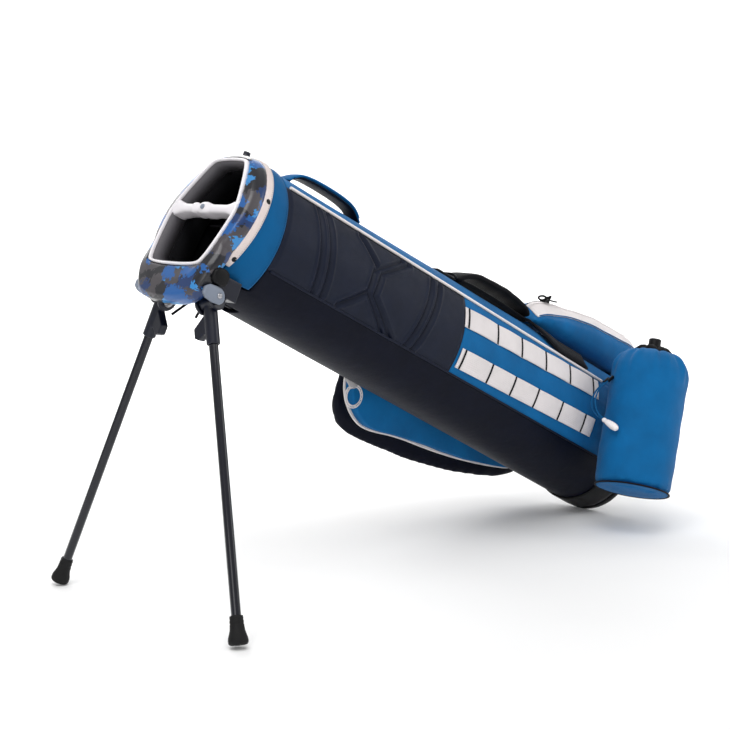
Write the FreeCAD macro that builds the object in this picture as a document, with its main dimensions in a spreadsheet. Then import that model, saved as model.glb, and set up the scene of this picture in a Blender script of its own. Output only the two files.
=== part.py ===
import FreeCAD, Part
import math
import os

import Sketcher
from FreeCAD import Placement, Rotation, Vector

# Golf stand bag, leaning on its two legs.
#
# The bag itself is modelled upright in its own frame: X is the depth (+X the spine, -X the leg side),
# Y the width (+Y the far side, -Y the side with the drawstring pouch) and Z runs up the tube from its base.
# LEAN then lays that frame at the bag's working angle, with the tube's top towards -X of the part's frame.

DOC = FreeCAD.newDocument("golf_stand_bag")
SHEET = DOC.addObject("Spreadsheet::Sheet", "Dims")

# ---------------------------------------------------------------- driving dimensions (mm, degrees)

DIMS = {
    # the lean and the origin at the middle of the footprint
    "lean_angle": 26.0,
    "origin_x": 395.41,
    "origin_y": 4.74,
    "base_height": 89.4,
    # the oval tube
    "tube_half_width": 74.0,
    "tube_half_depth_base": 99.5,
    "tube_half_depth_top": 87.0,
    "tube_end_radius": 66.0,
    "tube_length": 800.0,
    "skin_thickness": 2.0,
    "layer_gap": 0.3,
    "liner_inset": 8.0,
    "liner_thickness": 2.2,
    # the seams that part the skins
    "seam_low": -38.0,
    "seam_high": 68.0,
    "collar_seam": 783.0,
    "molle_seam": 444.0,
    "boot_height": 58.0,
    "boot_wall": 3.5,
    # the slanted rim
    "rim_slope": 0.17,
    "band_bottom": 820.0,
    "band_width": 11.0,
    "cuff_shoulder": 841.0,
    "cuff_rim": 851.0,
    "cuff_outset": 3.0,
    "cuff_lip_inset": 11.0,
    # the two club openings and the bar between them
    "well_half_width": 58.0,
    "divider_x": 9.0,
    "divider_bar": 11.0,
    "frame_wall": 3.0,
    "sheet_thickness": 2.0,
    # the legs
    "pivot_x": -100.0,
    "pivot_y": 45.5,
    "pivot_z": 828.6,
    "leg_reach": 388.9,
    "leg_radius": 5.5,
    "head_radius": 8.0,
    "head_length": 50.0,
    "barrel_radius": 9.0,
    "barrel_length": 18.0,
    "pin_radius": 3.0,
    "pin_clearance": 0.05,
    "ear_thickness": 4.0,
    "ear_radius": 12.0,
    "foot_radius": 11.0,
    "foot_length": 32.0,
    # the actuator under the skin of the leg side
    "rod_radius": 2.0,
    "rod_inset": 5.0,
    "rod_bottom": 14.4,
    "rod_top": 802.0,
    "wire_radius": 1.6,
    # the hinged base plate
    "plate_thickness": 12.0,
    "plate_pin_x": 88.0,
    "plate_pin_z": 7.0,
}

for row, (name, size) in enumerate(DIMS.items(), start=1):
    SHEET.set(f"A{row}", name)
    SHEET.set(f"B{row}", str(size))
    SHEET.setAlias(f"B{row}", name)
DOC.recompute()


class Size:
    """A length or an angle that knows both its number and its spreadsheet formula."""

    def __init__(self, number, formula):
        self.number = float(number)
        self.formula = formula

    def __float__(self):
        return self.number

    def __add__(self, other):
        other = size_of(other)
        return Size(self.number + other.number, f"({self.formula} + {other.formula})")

    def __sub__(self, other):
        other = size_of(other)
        return Size(self.number - other.number, f"({self.formula} - {other.formula})")

    def __mul__(self, factor):
        return Size(self.number * factor, f"({self.formula} * {factor})")

    def __neg__(self):
        return self * -1


def size_of(value):
    """A Size from a Size or a plain number."""
    return value if isinstance(value, Size) else Size(value, str(value))


def cell(name):
    """The driving dimension of that name."""
    return Size(DIMS[name], f"Dims.{name}")


def bind(thing, **sizes):
    """Set properties of a primitive or feature and bind each one to the spreadsheet."""
    for name, size in sizes.items():
        size = size_of(size)
        setattr(thing, name, size.number)
        thing.setExpression(name, size.formula)
    return thing


# ---------------------------------------------------------------- places

LEAN = Placement(
    Vector(DIMS["origin_x"], DIMS["origin_y"], DIMS["base_height"]),
    Rotation(Vector(0, 1, 0), DIMS["lean_angle"] - 90),
)
PIVOT = {
    side: Vector(DIMS["pivot_x"], sign * DIMS["pivot_y"], DIMS["pivot_z"])
    for side, sign in (("left", -1), ("right", 1))
}
# the way each leg points when it stands on the floor, in the bag's frame
LEG_WAY = {
    "left": Vector(-0.9076, -0.3415, -0.2436).normalize(),
    "right": Vector(-0.9076, 0.3415, -0.2436).normalize(),
}
FOLDED_WAY = Vector(0, 0, -1)


def leg_place(side):
    """A leg's own frame: origin on its pivot, +Z down the leg and +Y along the hinge pin."""
    way = LEG_WAY[side]
    pin = way.cross(FOLDED_WAY).normalize()
    turn = Rotation(pin.cross(way), pin, way, "ZXY")
    return LEAN.multiply(Placement(PIVOT[side], turn))


PARTS = []


def publish(thing, label, place=LEAN):
    """Name a finished sub-part, put it in its place and list it for export."""
    thing.Label = label
    thing.Placement = place
    PARTS.append(thing)
    return thing


def shape_part(shape, label, place=LEAN):
    """A sub-part whose shape comes from Part's own functions."""
    feature = DOC.addObject("Part::Feature", label)
    feature.Shape = shape
    return publish(feature, label, place)


# ---------------------------------------------------------------- sketched bodies


def body_of(label):
    return DOC.addObject("PartDesign::Body", label)


def sketch_on(body, role, offset=0.0):
    """An empty sketch on one of the body's own origin planes."""
    plane = next(f for f in body.Origin.OriginFeatures if f.Role == role)
    sketch = body.newObject("Sketcher::SketchObject", f"{body.Name}_sketch")
    sketch.AttachmentSupport = [(plane, "")]
    sketch.MapMode = "FlatFace"
    sketch.AttachmentOffset = Placement(Vector(0, 0, float(offset)), Rotation())
    return sketch


def outline(sketch, corners):
    """A closed outline through corners, each a pair of sizes that stay bound to the spreadsheet."""
    corners = [(size_of(across), size_of(up)) for across, up in corners]
    points = [Vector(across.number, up.number, 0) for across, up in corners]
    count = len(points)
    for index in range(count):
        sketch.addGeometry(Part.LineSegment(points[index], points[(index + 1) % count]), False)
    for index in range(count):
        sketch.addConstraint(Sketcher.Constraint("Coincident", index, 2, (index + 1) % count, 1))
    for index, pair in enumerate(corners):
        for kind, size in zip(("DistanceX", "DistanceY"), pair):
            rule = Sketcher.Constraint(kind, -1, 1, index, 1, size.number)
            place = sketch.addConstraint(rule)
            if "Dims" in size.formula:
                sketch.setExpression(f"Constraints[{place}]", size.formula)
    return sketch


def circle(sketch, radius, across=0.0, up=0.0):
    """A circle of that radius, centred at (across, up)."""
    radius = size_of(radius)
    centre = Vector(float(across), float(up), 0)
    index = sketch.addGeometry(Part.Circle(centre, Vector(0, 0, 1), radius.number))
    place = sketch.addConstraint(Sketcher.Constraint("Radius", index, radius.number))
    sketch.setExpression(f"Constraints[{place}]", radius.formula)
    for kind, size in (("DistanceX", across), ("DistanceY", up)):
        size = size_of(size)
        place = sketch.addConstraint(Sketcher.Constraint(kind, -1, 1, index, 3, size.number))
        if "Dims" in size.formula:
            sketch.setExpression(f"Constraints[{place}]", size.formula)
    return sketch


def pad(body, sketch, length, midplane=False):
    feature = body.newObject("PartDesign::Pad", f"{body.Name}_pad")
    feature.Profile = sketch
    feature.Midplane = midplane
    bind(feature, Length=length)
    body.Tip = feature
    return feature


def round_edges(body, picks, radius):
    """Fillet the edges of the body's tip that picks accepts."""
    DOC.recompute()
    tip = body.Tip
    names = [f"Edge{i + 1}" for i, edge in enumerate(tip.Shape.Edges) if picks(edge)]
    feature = body.newObject("PartDesign::Fillet", f"{body.Name}_fillet")
    feature.Base = (tip, names)
    bind(feature, Radius=radius)
    body.Tip = feature
    return feature


def turned(label, corners, place):
    """A turned piece: the half outline (radius, height) swept once round its own Z axis."""
    body = body_of(label)
    sketch = outline(sketch_on(body, "XZ_Plane"), corners)
    feature = body.newObject("PartDesign::Revolution", f"{label}_turn")
    feature.Profile = sketch
    feature.ReferenceAxis = (sketch, ["V_Axis"])
    feature.Angle = 360
    body.Tip = feature
    return publish(body, label, place)


def side_profile(label, corners, width, middle=0.0, rounding=None, place=LEAN):
    """A piece cut to a side view (X, Z) and padded across the bag's width, centred at Y = middle."""
    body = body_of(label)
    # a sketch on the XZ plane looks along +Y, so its own offset runs towards -Y
    sketch = outline(sketch_on(body, "XZ_Plane", -middle), corners)
    pad(body, sketch, width, midplane=True)
    if rounding:
        round_edges(body, lambda edge: True, rounding)
    return publish(body, label, place)


# ---------------------------------------------------------------- the oval tube


def half_depth(z):
    """Half the tube's depth at height z: it tapers from the base to the top."""
    share = z / DIMS["tube_length"]
    return DIMS["tube_half_depth_base"] + (DIMS["tube_half_depth_top"] - DIMS["tube_half_depth_base"]) * share


def oval_wire(z, offset=0.0, slope=0.0, depth=None):
    """The tube's section: two round ends and two nearly flat sides, grown by offset.

    With a slope, the section lies in the plane that falls by slope towards the spine.
    """
    end_radius = DIMS["tube_end_radius"]
    half_width = DIMS["tube_half_width"]
    half = half_depth(z) if depth is None else depth
    reach = half - end_radius
    side_radius = (half_width**2 + half**2 - 2 * half * end_radius) / (2 * (half_width - end_radius))
    # the end arc meets the side arc where both centres are in line
    angle = math.atan2(reach, side_radius - half_width)
    joint = Vector(
        reach + (end_radius + offset) * math.sin(angle),
        (end_radius + offset) * math.cos(angle),
        0,
    )
    top = Vector(half + offset, 0, 0)
    side = Vector(0, half_width + offset, 0)
    ends = [
        (Vector(joint.x, -joint.y, 0), top, joint),
        (joint, side, Vector(-joint.x, joint.y, 0)),
        (Vector(-joint.x, joint.y, 0), -top, Vector(-joint.x, -joint.y, 0)),
        (Vector(-joint.x, -joint.y, 0), -side, Vector(joint.x, -joint.y, 0)),
    ]
    wire = Part.Wire([Part.Arc(*points).toShape() for points in ends])
    wire.Placement = Placement(Vector(0, 0, z), Rotation(Vector(0, 1, 0), math.degrees(math.atan(slope))))
    return wire


def loft(wires):
    return Part.makeLoft(wires, True, True)


def oval_solid(low, high, offset=0.0):
    """The solid tube between two heights, grown by offset."""
    return loft([oval_wire(low, offset), oval_wire(high, offset)])


def shell(low, high, outer, inner):
    """A wall that follows the tube between two offsets from its surface."""
    return oval_solid(low, high, outer).cut(oval_solid(low - 1, high + 1, inner))


def slab(x_low, x_high, y_low, y_high, z_low, z_high):
    """A plain block between six planes of the bag's frame."""
    return Part.makeBox(x_high - x_low, y_high - y_low, z_high - z_low, Vector(x_low, y_low, z_low))


def above_slant(z):
    """Everything above the plane that crosses the tube's axis at z and falls towards the spine."""
    block = slab(-400, 400, -400, 400, 0, 600)
    block.Placement = Placement(
        Vector(0, 0, z), Rotation(Vector(0, 1, 0), math.degrees(math.atan(DIMS["rim_slope"])))
    )
    return block


SKIN = DIMS["skin_thickness"]
GAP = DIMS["layer_gap"]
SEAM_LOW = DIMS["seam_low"]
SEAM_HIGH = DIMS["seam_high"]
SEAM_GAP = 0.2
FAR = 300.0
HEEL_LINE = -66.0
# the slot in the leg side's skin that the yoke works through
YOKE_SLOT = slab(-FAR, -60, -12, 12, 766, 900)


def make_tube():
    """The stiff liner that carries the clubs and the fabric skins sewn round it."""
    inset = DIMS["liner_inset"]
    liner = shell(16, 880, -inset, -inset - DIMS["liner_thickness"]).cut(above_slant(DIMS["band_bottom"] + 7))
    lengths = {
        "liner_lower": (0, 230),
        "liner_middle": (230, 460),
        "liner_upper": (460, 690),
        "liner_mouth": (690, 900),
    }
    for label, (low, high) in lengths.items():
        length = slab(-FAR, FAR, -FAR, FAR, low + SEAM_GAP, high)
        shape_part(liner.common(length), label)

    skins = shell(16, 880, 0, -SKIN)
    below_collar = DIMS["collar_seam"]
    bands = {
        "underside_panel": ((-FAR, SEAM_LOW), (-FAR, FAR), (16, below_collar)),
        "spine_panel": ((SEAM_HIGH, FAR), (-FAR, FAR), (16, below_collar)),
        "side_panel_far": ((SEAM_LOW, SEAM_HIGH), (0, FAR), (16, below_collar)),
        "side_panel_near": ((SEAM_LOW, SEAM_HIGH), (-FAR, 0), (DIMS["molle_seam"], below_collar)),
        "webbing_panel_near": ((SEAM_LOW, SEAM_HIGH), (-FAR, 0), (16, DIMS["molle_seam"])),
    }
    for label, ((x_low, x_high), (y_low, y_high), (z_low, z_high)) in bands.items():
        field = slab(x_low + SEAM_GAP, x_high - SEAM_GAP, y_low, y_high, z_low, z_high - SEAM_GAP)
        skin = skins.common(field)
        if label == "underside_panel":
            skin = skin.cut(YOKE_SLOT)
        shape_part(skin, label)

    collar = shell(below_collar + SEAM_GAP, 880, SKIN / 2, -inset + GAP).cut(above_slant(DIMS["band_bottom"]))
    # the bracket's heel and the yoke come through the collar on the leg side
    heel = slab(-FAR, HEEL_LINE, -FAR, FAR, 0, 900)
    shape_part(collar.cut(heel), "collar_sleeve")

    heel_panel = shell(below_collar + SEAM_GAP, 880, 0, -SKIN)
    heel_panel = heel_panel.common(slab(-FAR, HEEL_LINE - GAP, -FAR, FAR, 0, 804))
    shape_part(heel_panel.cut(YOKE_SLOT), "heel_panel")


def make_divider():
    """The full-length cloth divider between the two wells."""
    body = body_of("divider_sheet")
    half = DIMS["tube_half_width"] - DIMS["liner_inset"] - DIMS["liner_thickness"] - 1.0
    middle = cell("divider_x")
    thickness = cell("sheet_thickness")
    corners = [
        (middle - thickness * 0.5, -half),
        (middle + thickness * 0.5, -half),
        (middle + thickness * 0.5, half),
        (middle - thickness * 0.5, half),
    ]
    sketch = outline(sketch_on(body, "XY_Plane", 24.0), corners)
    pad(body, sketch, cell("tube_length") - 30.0)
    publish(body, "divider_sheet")


# ---------------------------------------------------------------- the moulded top


def slanted(z, corners, height):
    """A prism on the slanted rim plane through z: corners are (depth, width), height runs up the bag."""
    slope = DIMS["rim_slope"]
    base = [Vector(x, y, z - slope * x) for x, y in corners]
    wire = Part.makePolygon(base + base[:1])
    return Part.Face(wire).extrude(Vector(0, 0, height))


def well_outline(grow=0.0):
    """The outline round both club openings as (depth, width) corners, grown outwards by grow."""
    wide = DIMS["well_half_width"] + grow
    half = [
        (76 + grow, 24 + grow / 2),
        (69 + grow / 2, 34 + grow),
        (DIMS["divider_x"] + 4, wide),
        (DIMS["divider_x"] - 18, wide),
        (-58 - grow / 2, 50 + grow),
        (-67 - grow, 41 + grow / 2),
    ]
    return half + [(x, -y) for x, y in reversed(half)]


def make_top():
    """The moulded cuff with its chin, the pale frame of the two openings and the band below them."""
    slope = DIMS["rim_slope"]
    out = DIMS["cuff_outset"]
    shoulder = DIMS["cuff_shoulder"]
    rim = DIMS["cuff_rim"]
    band_low = DIMS["band_bottom"]
    band_high = band_low + DIMS["band_width"]
    wall = loft(
        [
            oval_wire(band_high + GAP, out, slope),
            oval_wire(shoulder, out, slope),
            oval_wire(rim, -DIMS["cuff_lip_inset"], slope, half_depth(rim) + 12.0),
        ]
    )
    # the chin stands out over the leg heads: a sloping brow, a front and a flat underside
    chin_side = [(-60, 862), (-97, 866), (-113, 858), (-113, 846), (-60, 846)]
    chin = Part.Face(Part.makePolygon([Vector(x, -66, z) for x, z in chin_side + chin_side[:1]]))
    chin = chin.extrude(Vector(0, 132, 0))
    chin_plan = [(-50, -72), (-92, -62), (-114, -46), (-114, 46), (-92, 62), (-50, 72)]
    plan = Part.Face(Part.makePolygon([Vector(x, y, 800) for x, y in chin_plan + chin_plan[:1]]))
    chin = chin.common(plan.extrude(Vector(0, 0, 100)))
    cuff = wall.fuse(chin)
    cuff = cuff.cut(slanted(780, well_outline(DIMS["frame_wall"] + GAP), 120))
    # room for the leg bracket under the chin
    cuff = cuff.cut(slab(-FAR, CHIN_LINE, -FAR, FAR, 780, CUFF_FLOOR))
    shape_part(cuff.removeSplitter(), "top_cuff")

    frame = slanted(FRAME_BOTTOM, well_outline(DIMS["frame_wall"]), rim + 3 - FRAME_BOTTOM)
    holes = slanted(780, well_outline(), 120)
    bar = DIMS["divider_bar"] / 2
    middle = DIMS["divider_x"]
    holes = holes.cut(slab(middle - bar, middle + bar, -FAR, FAR, 700, 990))
    frame = frame.cut(holes)
    # the cloth divider is held in a slot under the bar
    grip = DIMS["sheet_thickness"] / 2 + GAP
    frame = frame.cut(slab(middle - grip, middle + grip, -FAR, FAR, 700, DIMS["tube_length"] - 5))
    # inside the liner it is trimmed to the liner's bore, above the band it flares to the rim
    bore = oval_solid(780, 900, -DIMS["liner_inset"] - DIMS["liner_thickness"] - GAP)
    neck = frame.common(bore)
    head = frame.common(above_slant(band_high + GAP))
    shape_part(neck.fuse(head).removeSplitter(), "divider_frame")

    band = shell(790, 880, out - 0.5, -DIMS["liner_inset"] + GAP).common(above_slant(band_low + GAP))
    band = band.cut(above_slant(band_high))
    shape_part(band.cut(slab(-FAR, CHIN_LINE, -FAR, FAR, 780, 900)), "collar_band")


def on_side(x, z, sign, offset):
    """The point of the tube's near-flat side at (x, z), offset outwards, and the way the surface faces."""
    half_width = DIMS["tube_half_width"]
    end_radius = DIMS["tube_end_radius"]
    half = half_depth(z)
    side_radius = (half_width**2 + half**2 - 2 * half * end_radius) / (2 * (half_width - end_radius))
    turn = math.asin(x / (side_radius + offset))
    way = Vector(math.sin(turn), sign * math.cos(turn), 0)
    return way * (side_radius + offset) - Vector(0, sign * (side_radius - half_width), z * -1), way


def make_fastenings():
    """The band's four black screws and the knob on the spine side of the cuff."""
    screws = []
    middle = DIMS["band_bottom"] + DIMS["band_width"] / 2
    for x in (31, -46):
        for sign in (-1, 1):
            start, way = on_side(x, middle - DIMS["rim_slope"] * x, sign, DIMS["cuff_outset"] - 0.4)
            screws.append(Part.makeCylinder(3.2, 2.0, start, way))
    shape_part(Part.makeCompound(screws), "collar_screws")
    body = body_of("cuff_knob")
    pad(body, circle(sketch_on(body, "YZ_Plane", 91.0), 4.5, 0.0, 819.0), 4.0)
    publish(body, "cuff_knob")


# ---------------------------------------------------------------- the leg bracket and the legs

CHIN_LINE = -66.0
CUFF_FLOOR = 841.8
BRACKET_TOP = 839.2
BRACKET_BOTTOM = 804.5
FRAME_BOTTOM = 798.0
EAR_GAP = 0.5


def ear_place(side):
    """The bag's frame turned about Z so that Y runs along that leg's hinge pin."""
    turn = 20.62 if side == "left" else -20.62
    return Placement(PIVOT[side], Rotation(Vector(0, 0, 1), turn))


def across_pin(side, radius, length):
    """A cylinder along that leg's hinge pin, centred on the pivot."""
    rod = Part.makeCylinder(radius, length, Vector(0, -length / 2, 0), Vector(0, 1, 0))
    rod.Placement = ear_place(side)
    return rod


def make_bracket():
    """The moulded bracket under the chin: two pairs of ears that hold the legs' hinge pins."""
    inner = DIMS["barrel_length"] / 2 + EAR_GAP
    thick = DIMS["ear_thickness"]
    radius = DIMS["ear_radius"]
    body = slab(-90, CHIN_LINE - GAP, -60, 60, BRACKET_BOTTOM, BRACKET_TOP)
    for side in PIVOT:
        # room for the leg's barrel and the heads of its pin
        body = body.cut(across_pin(side, DIMS["barrel_radius"] + EAR_GAP, 40))
    for side in PIVOT:
        for start in (inner, -inner - thick):
            disc = Part.makeCylinder(radius, thick, Vector(0, start, 0), Vector(0, 1, 0))
            arm = Part.makeBox(26, thick, 2 * radius, Vector(0, start, -radius))
            ear = disc.fuse(arm)
            ear.Placement = ear_place(side)
            body = body.fuse(ear)
    # the yoke swings in a window between the two inner ears
    body = body.cut(slab(-FAR, 0, -24, 24, 780, 836))
    body = body.cut(oval_solid(780, 900, -DIMS["liner_inset"] + GAP))
    body = body.cut(slab(CHIN_LINE - GAP, FAR, -FAR, FAR, 780, 900))
    for side in PIVOT:
        body = body.cut(across_pin(side, DIMS["pin_radius"] + DIMS["pin_clearance"], 60))
    shape_part(body.removeSplitter(), "leg_bracket")

    span = 2 * (inner + thick)
    pins = []
    for side in PIVOT:
        shank = across_pin(side, DIMS["pin_radius"], span + 2)
        heads = []
        for end in (-1, 1):
            low = end * (span / 2 + 1) - (0 if end > 0 else 2)
            head = Part.makeCylinder(5.5, 2, Vector(0, low, 0), Vector(0, 1, 0))
            head.Placement = ear_place(side)
            heads.append(head)
        pins.append(shank.fuse(heads))
    shape_part(Part.makeCompound(pins), "pivot_pins")


def make_leg(side):
    """One leg: a moulded head with a wing for the yoke, an alloy tube and a rubber foot."""
    place = leg_place(side)
    inward = -1 if side == "left" else 1
    radius = DIMS["head_radius"]
    socket = DIMS["leg_radius"] + DIMS["pin_clearance"]
    width = DIMS["barrel_length"]
    barrel = Part.makeCylinder(DIMS["barrel_radius"], width, Vector(0, -width / 2, 0), Vector(0, 1, 0))
    arm = Part.makeCylinder(radius, DIMS["head_length"])
    wing_side = [(0, 13), (6, 13), (25, 26), (25, 37), (19, 41), (9, 36), (0, 38)]
    wing = Part.Face(Part.makePolygon([Vector(-5, inward * w, z) for w, z in wing_side + wing_side[:1]]))
    head = barrel.fuse([arm, wing.extrude(Vector(10, 0, 0))])
    head = head.cut(Part.makeCylinder(socket, 40, Vector(0, 0, 34)))
    bore = DIMS["pin_radius"] + DIMS["pin_clearance"]
    head = head.cut(Part.makeCylinder(bore, 40, Vector(0, -20, 0), Vector(0, 1, 0)))
    shape_part(head.removeSplitter(), f"leg_head_{side}", place)

    tube_end = cell("leg_reach") - 14.0
    body = body_of(f"leg_tube_{side}")
    pad(body, circle(sketch_on(body, "XY_Plane", 34.5), cell("leg_radius")), tube_end - 34.5)
    publish(body, f"leg_tube_{side}", place)

    reach = cell("leg_reach")
    wall = cell("leg_radius") + 0.05
    start = reach - cell("foot_length")
    corners = [
        (wall, start),
        (cell("leg_radius") + 2.2, start),
        (cell("leg_radius") + 2.8, start + 16.0),
        (cell("foot_radius"), start + 25.0),
        (cell("foot_radius") + 0.5, reach - 3.0),
        (cell("foot_radius") - 1.0, reach),
        (0.0, reach),
        (0.0, reach - 13.9),
        (wall, reach - 13.9),
    ]
    turned(f"leg_foot_{side}", corners, place)


# ---------------------------------------------------------------- the actuator

YOKE = Vector(-82.0, 0, 806.0)
PLATE_TOP = DIMS["plate_thickness"]


def make_actuator():
    """The rod that the base plate pushes up under the skin, its block and the wire yoke to the two wings."""
    low = Vector(-(half_depth(DIMS["rod_bottom"]) - DIMS["rod_inset"]), 0, PLATE_TOP + GAP)
    high = Vector(YOKE.x, 0, DIMS["rod_top"] - 0.1)
    way = (high - low).normalize()
    body = body_of("actuator_rod")
    pad(body, circle(sketch_on(body, "XY_Plane"), cell("rod_radius")), high.distanceToPoint(low))
    publish(body, "actuator_rod", LEAN.multiply(Placement(low, Rotation(Vector(0, 0, 1), way))))

    guides = []
    for z in (120, 400, 680):
        skin_side = -(half_depth(z) - SKIN - GAP)
        liner_side = -(half_depth(z) - DIMS["liner_inset"] + GAP)
        guide = slab(skin_side + 0.3, liner_side - 0.3, -8, 8, z - 7, z + 7)
        guides.append(guide.cut(Part.makeCylinder(DIMS["rod_radius"] + 0.05, 900, low, way)))
    shape_part(Part.makeCompound(guides), "rod_guides")

    block = slab(-84.6, -79.6, -5, 5, DIMS["rod_top"], DIMS["rod_top"] + 9)
    bore = Part.makeCylinder(DIMS["wire_radius"] + 0.05, 20, YOKE - Vector(0, 10, 0), Vector(0, 1, 0))
    shape_part(block.cut(bore), "yoke_block")

    radius = DIMS["wire_radius"]
    wires = Part.makeCylinder(radius, 14, YOKE - Vector(0, 7, 0), Vector(0, 1, 0))
    for sign in (-1, 1):
        start = YOKE + Vector(0, sign * 7, 0)
        end = Vector(-118, sign * 23.5, 824)
        limb = Part.makeCylinder(radius, start.distanceToPoint(end), start, end - start)
        wires = wires.fuse([limb, Part.makeSphere(radius, start)])
    shape_part(wires, "yoke_wire")


def make_base():
    """The moulded boot, the base plate hinged under it and the plate's pin."""
    pin_x = DIMS["plate_pin_x"]
    pin_z = DIMS["plate_pin_z"]
    bore_radius = DIMS["pin_radius"] + DIMS["pin_clearance"]
    wall = DIMS["boot_wall"]
    top = DIMS["boot_height"]
    rod_hole = Part.makeCylinder(4, 60, Vector(-(half_depth(14) - DIMS["rod_inset"]), 0, 0))
    boot = loft([oval_wire(13.4, wall - 2), oval_wire(20, wall)]).fuse(oval_solid(20, top, wall))
    boot = boot.cut(oval_solid(16 - GAP, top + 1, GAP)).cut(rod_hole)
    pin_bore = Part.makeCylinder(bore_radius, 200, Vector(pin_x, -100, pin_z), Vector(0, 1, 0))
    for y in (-25, 25):
        lug = slab(pin_x - 5, pin_x + 5, y - 6, y + 6, pin_z, 16 - GAP)
        lug = lug.fuse(Part.makeCylinder(5, 12, Vector(pin_x, y - 6, pin_z), Vector(0, 1, 0)))
        boot = boot.fuse(lug)
    shape_part(boot.cut(pin_bore).removeSplitter(), "base_boot")

    plate = loft([oval_wire(0, 0), oval_wire(5, wall - 1)]).fuse(oval_solid(5, PLATE_TOP, wall - 1))
    for y in (-25, 25):
        plate = plate.cut(slab(pin_x - 7, FAR, y - 7, y + 7, -1, 20))
    # behind the pin the top falls away, so that the plate can swing
    relief_side = [(pin_x, PLATE_TOP + 0.1), (pin_x + 30, PLATE_TOP + 0.1), (pin_x + 30, PLATE_TOP - 9)]
    relief = Part.Face(Part.makePolygon([Vector(x, -120, z) for x, z in relief_side + relief_side[:1]]))
    plate = plate.cut(relief.extrude(Vector(0, 240, 0)))
    shape_part(plate.cut(pin_bore).removeSplitter(), "foot_plate")

    body = body_of("plate_pin")
    sketch = circle(sketch_on(body, "XZ_Plane"), cell("pin_radius"), cell("plate_pin_x"), cell("plate_pin_z"))
    pad(body, sketch, 84.0, midplane=True)
    publish(body, "plate_pin")


# ---------------------------------------------------------------- what is sewn on the tube


def sector(low, high, outer, inner, x_low, x_high, y_low, y_high):
    """A patch of wall on the tube, cut out between planes of the bag's frame."""
    return shell(low, high, outer, inner).common(slab(x_low, x_high, y_low, y_high, low - 1, high + 1))


def make_trim():
    """The two webbing rows on the near side and the piping along the spine panel."""
    for label, (x_low, x_high) in {"webbing_upper": (28, 55), "webbing_lower": (-21, 6)}.items():
        shape_part(sector(134, 440, 2.3, GAP, x_low, x_high, -FAR, 0), label)
    for label, sign in (("piping_near", -1), ("piping_far", 1)):
        ends = []
        for z in (120, 777):
            lift = half_depth(z) - DIMS["tube_end_radius"]
            rise = DIMS["seam_high"] - lift
            reach = math.sqrt(DIMS["tube_end_radius"] ** 2 - rise**2)
            out = 1 + 2.2 / DIMS["tube_end_radius"]
            ends.append(Vector(lift + rise * out, sign * reach * out, z))
        low, high = ends
        shape_part(Part.makeCylinder(1.8, low.distanceToPoint(high), low, high - low), label)


def make_handle():
    """The padded grab handle on the spine."""
    corners = [
        (88.3, 752), (97, 753), (107, 740), (112, 705), (113, 662), (110, 640), (101, 628), (89.9, 624),
        (89.8, 634), (97, 639), (101.5, 656), (103.5, 684), (102, 712), (98, 736), (93, 743), (88.4, 744),
    ]
    side_profile("grab_handle", corners, 28.0)


def make_strap():
    """The padded shoulder strap laid along the spine, its lower webbing and the two anchor rings."""
    corners = [
        (93.4, 432), (99, 434), (110, 408), (118, 384), (122, 330), (122, 286), (114, 272), (95.9, 272),
    ]
    side_profile("shoulder_strap", corners, 50.0, middle=-5.0)
    lower = sector(150, 271, 3.6, GAP, 70, FAR, -48, -40)
    shape_part(lower, "strap_webbing_lower")
    upper = slab(92.4, 95.4, -18, 8, 434.5, 470)
    shape_part(upper.cut(oval_solid(400, 500, GAP)), "strap_webbing_upper")


def make_ball_pocket():
    """The big pocket on the spine, with its zip on a straight stretch of the top and the slider on it."""
    corners = [
        (103.8, 4), (103.8, 60), (99.6, 62), (96.2, 268), (118, 266), (139, 246), (171, 108), (175, 70),
        (175, 34), (170, -4), (156, -10), (130, -2),
    ]
    side_profile("ball_pocket", corners, 76.0)
    low = Vector(171.0, 0, 108)
    high = Vector(139.0, 0, 246)
    run = high - low
    length = run.Length
    turn = Rotation(Vector(0, 0, 1), run)
    tape = Part.makeBox(1.0, 14, length - 6, Vector(GAP, -7, 3))
    shape_part(tape, "ball_pocket_zip", LEAN.multiply(Placement(low, turn)))
    slider = Part.makeBox(4.0, 9, 12, Vector(0, -4.5, 0))
    tab = Part.makeBox(2.0, 5, 26, Vector(4.0, -2.5, -20))
    slider = slider.fuse(tab)
    place = LEAN.multiply(Placement(low, turn)).multiply(Placement(Vector(1.7, 0, length - 24), Rotation()))
    shape_part(slider, "ball_pocket_slider", place)


EYELET_RADIUS = 2.6
EYELET_LENGTH = 12.0
POUCH_LOW = Vector(-76, -144, 92)
POUCH_HIGH = Vector(95, -124, 104)


def make_pouch():
    """The drawstring pouch at the base, its bottom disc and its gathered mouth."""
    axis = (POUCH_HIGH - POUCH_LOW).normalize()
    length = POUCH_HIGH.distanceToPoint(POUCH_LOW)
    rings = [(0, 54), (length * 0.45, 55.5), (length, 57), (length + 20, 48), (length + 36, 25)]
    wires = []
    for height, radius in rings:
        wires.append(Part.Wire([Part.makeCircle(radius, POUCH_LOW + axis * height, axis)]))
    pouch = loft(wires)
    tube_side = slab(-FAR, FAR, -79.2, FAR, -FAR, FAR)
    for start, way in eyelet_places():
        depth = EYELET_LENGTH + GAP
        pouch = pouch.cut(Part.makeCylinder(EYELET_RADIUS + GAP, depth, start - way * depth, way))
    shape_part(pouch.cut(tube_side), "pouch")
    disc = Part.makeCylinder(53, 2.0, POUCH_LOW - axis * 2.3, axis)
    shape_part(disc.cut(tube_side), "pouch_base")
    lock = Part.makeCylinder(9, 14, POUCH_LOW + axis * (length + 36.3), axis)
    shape_part(lock, "pouch_cord_lock")


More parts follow.
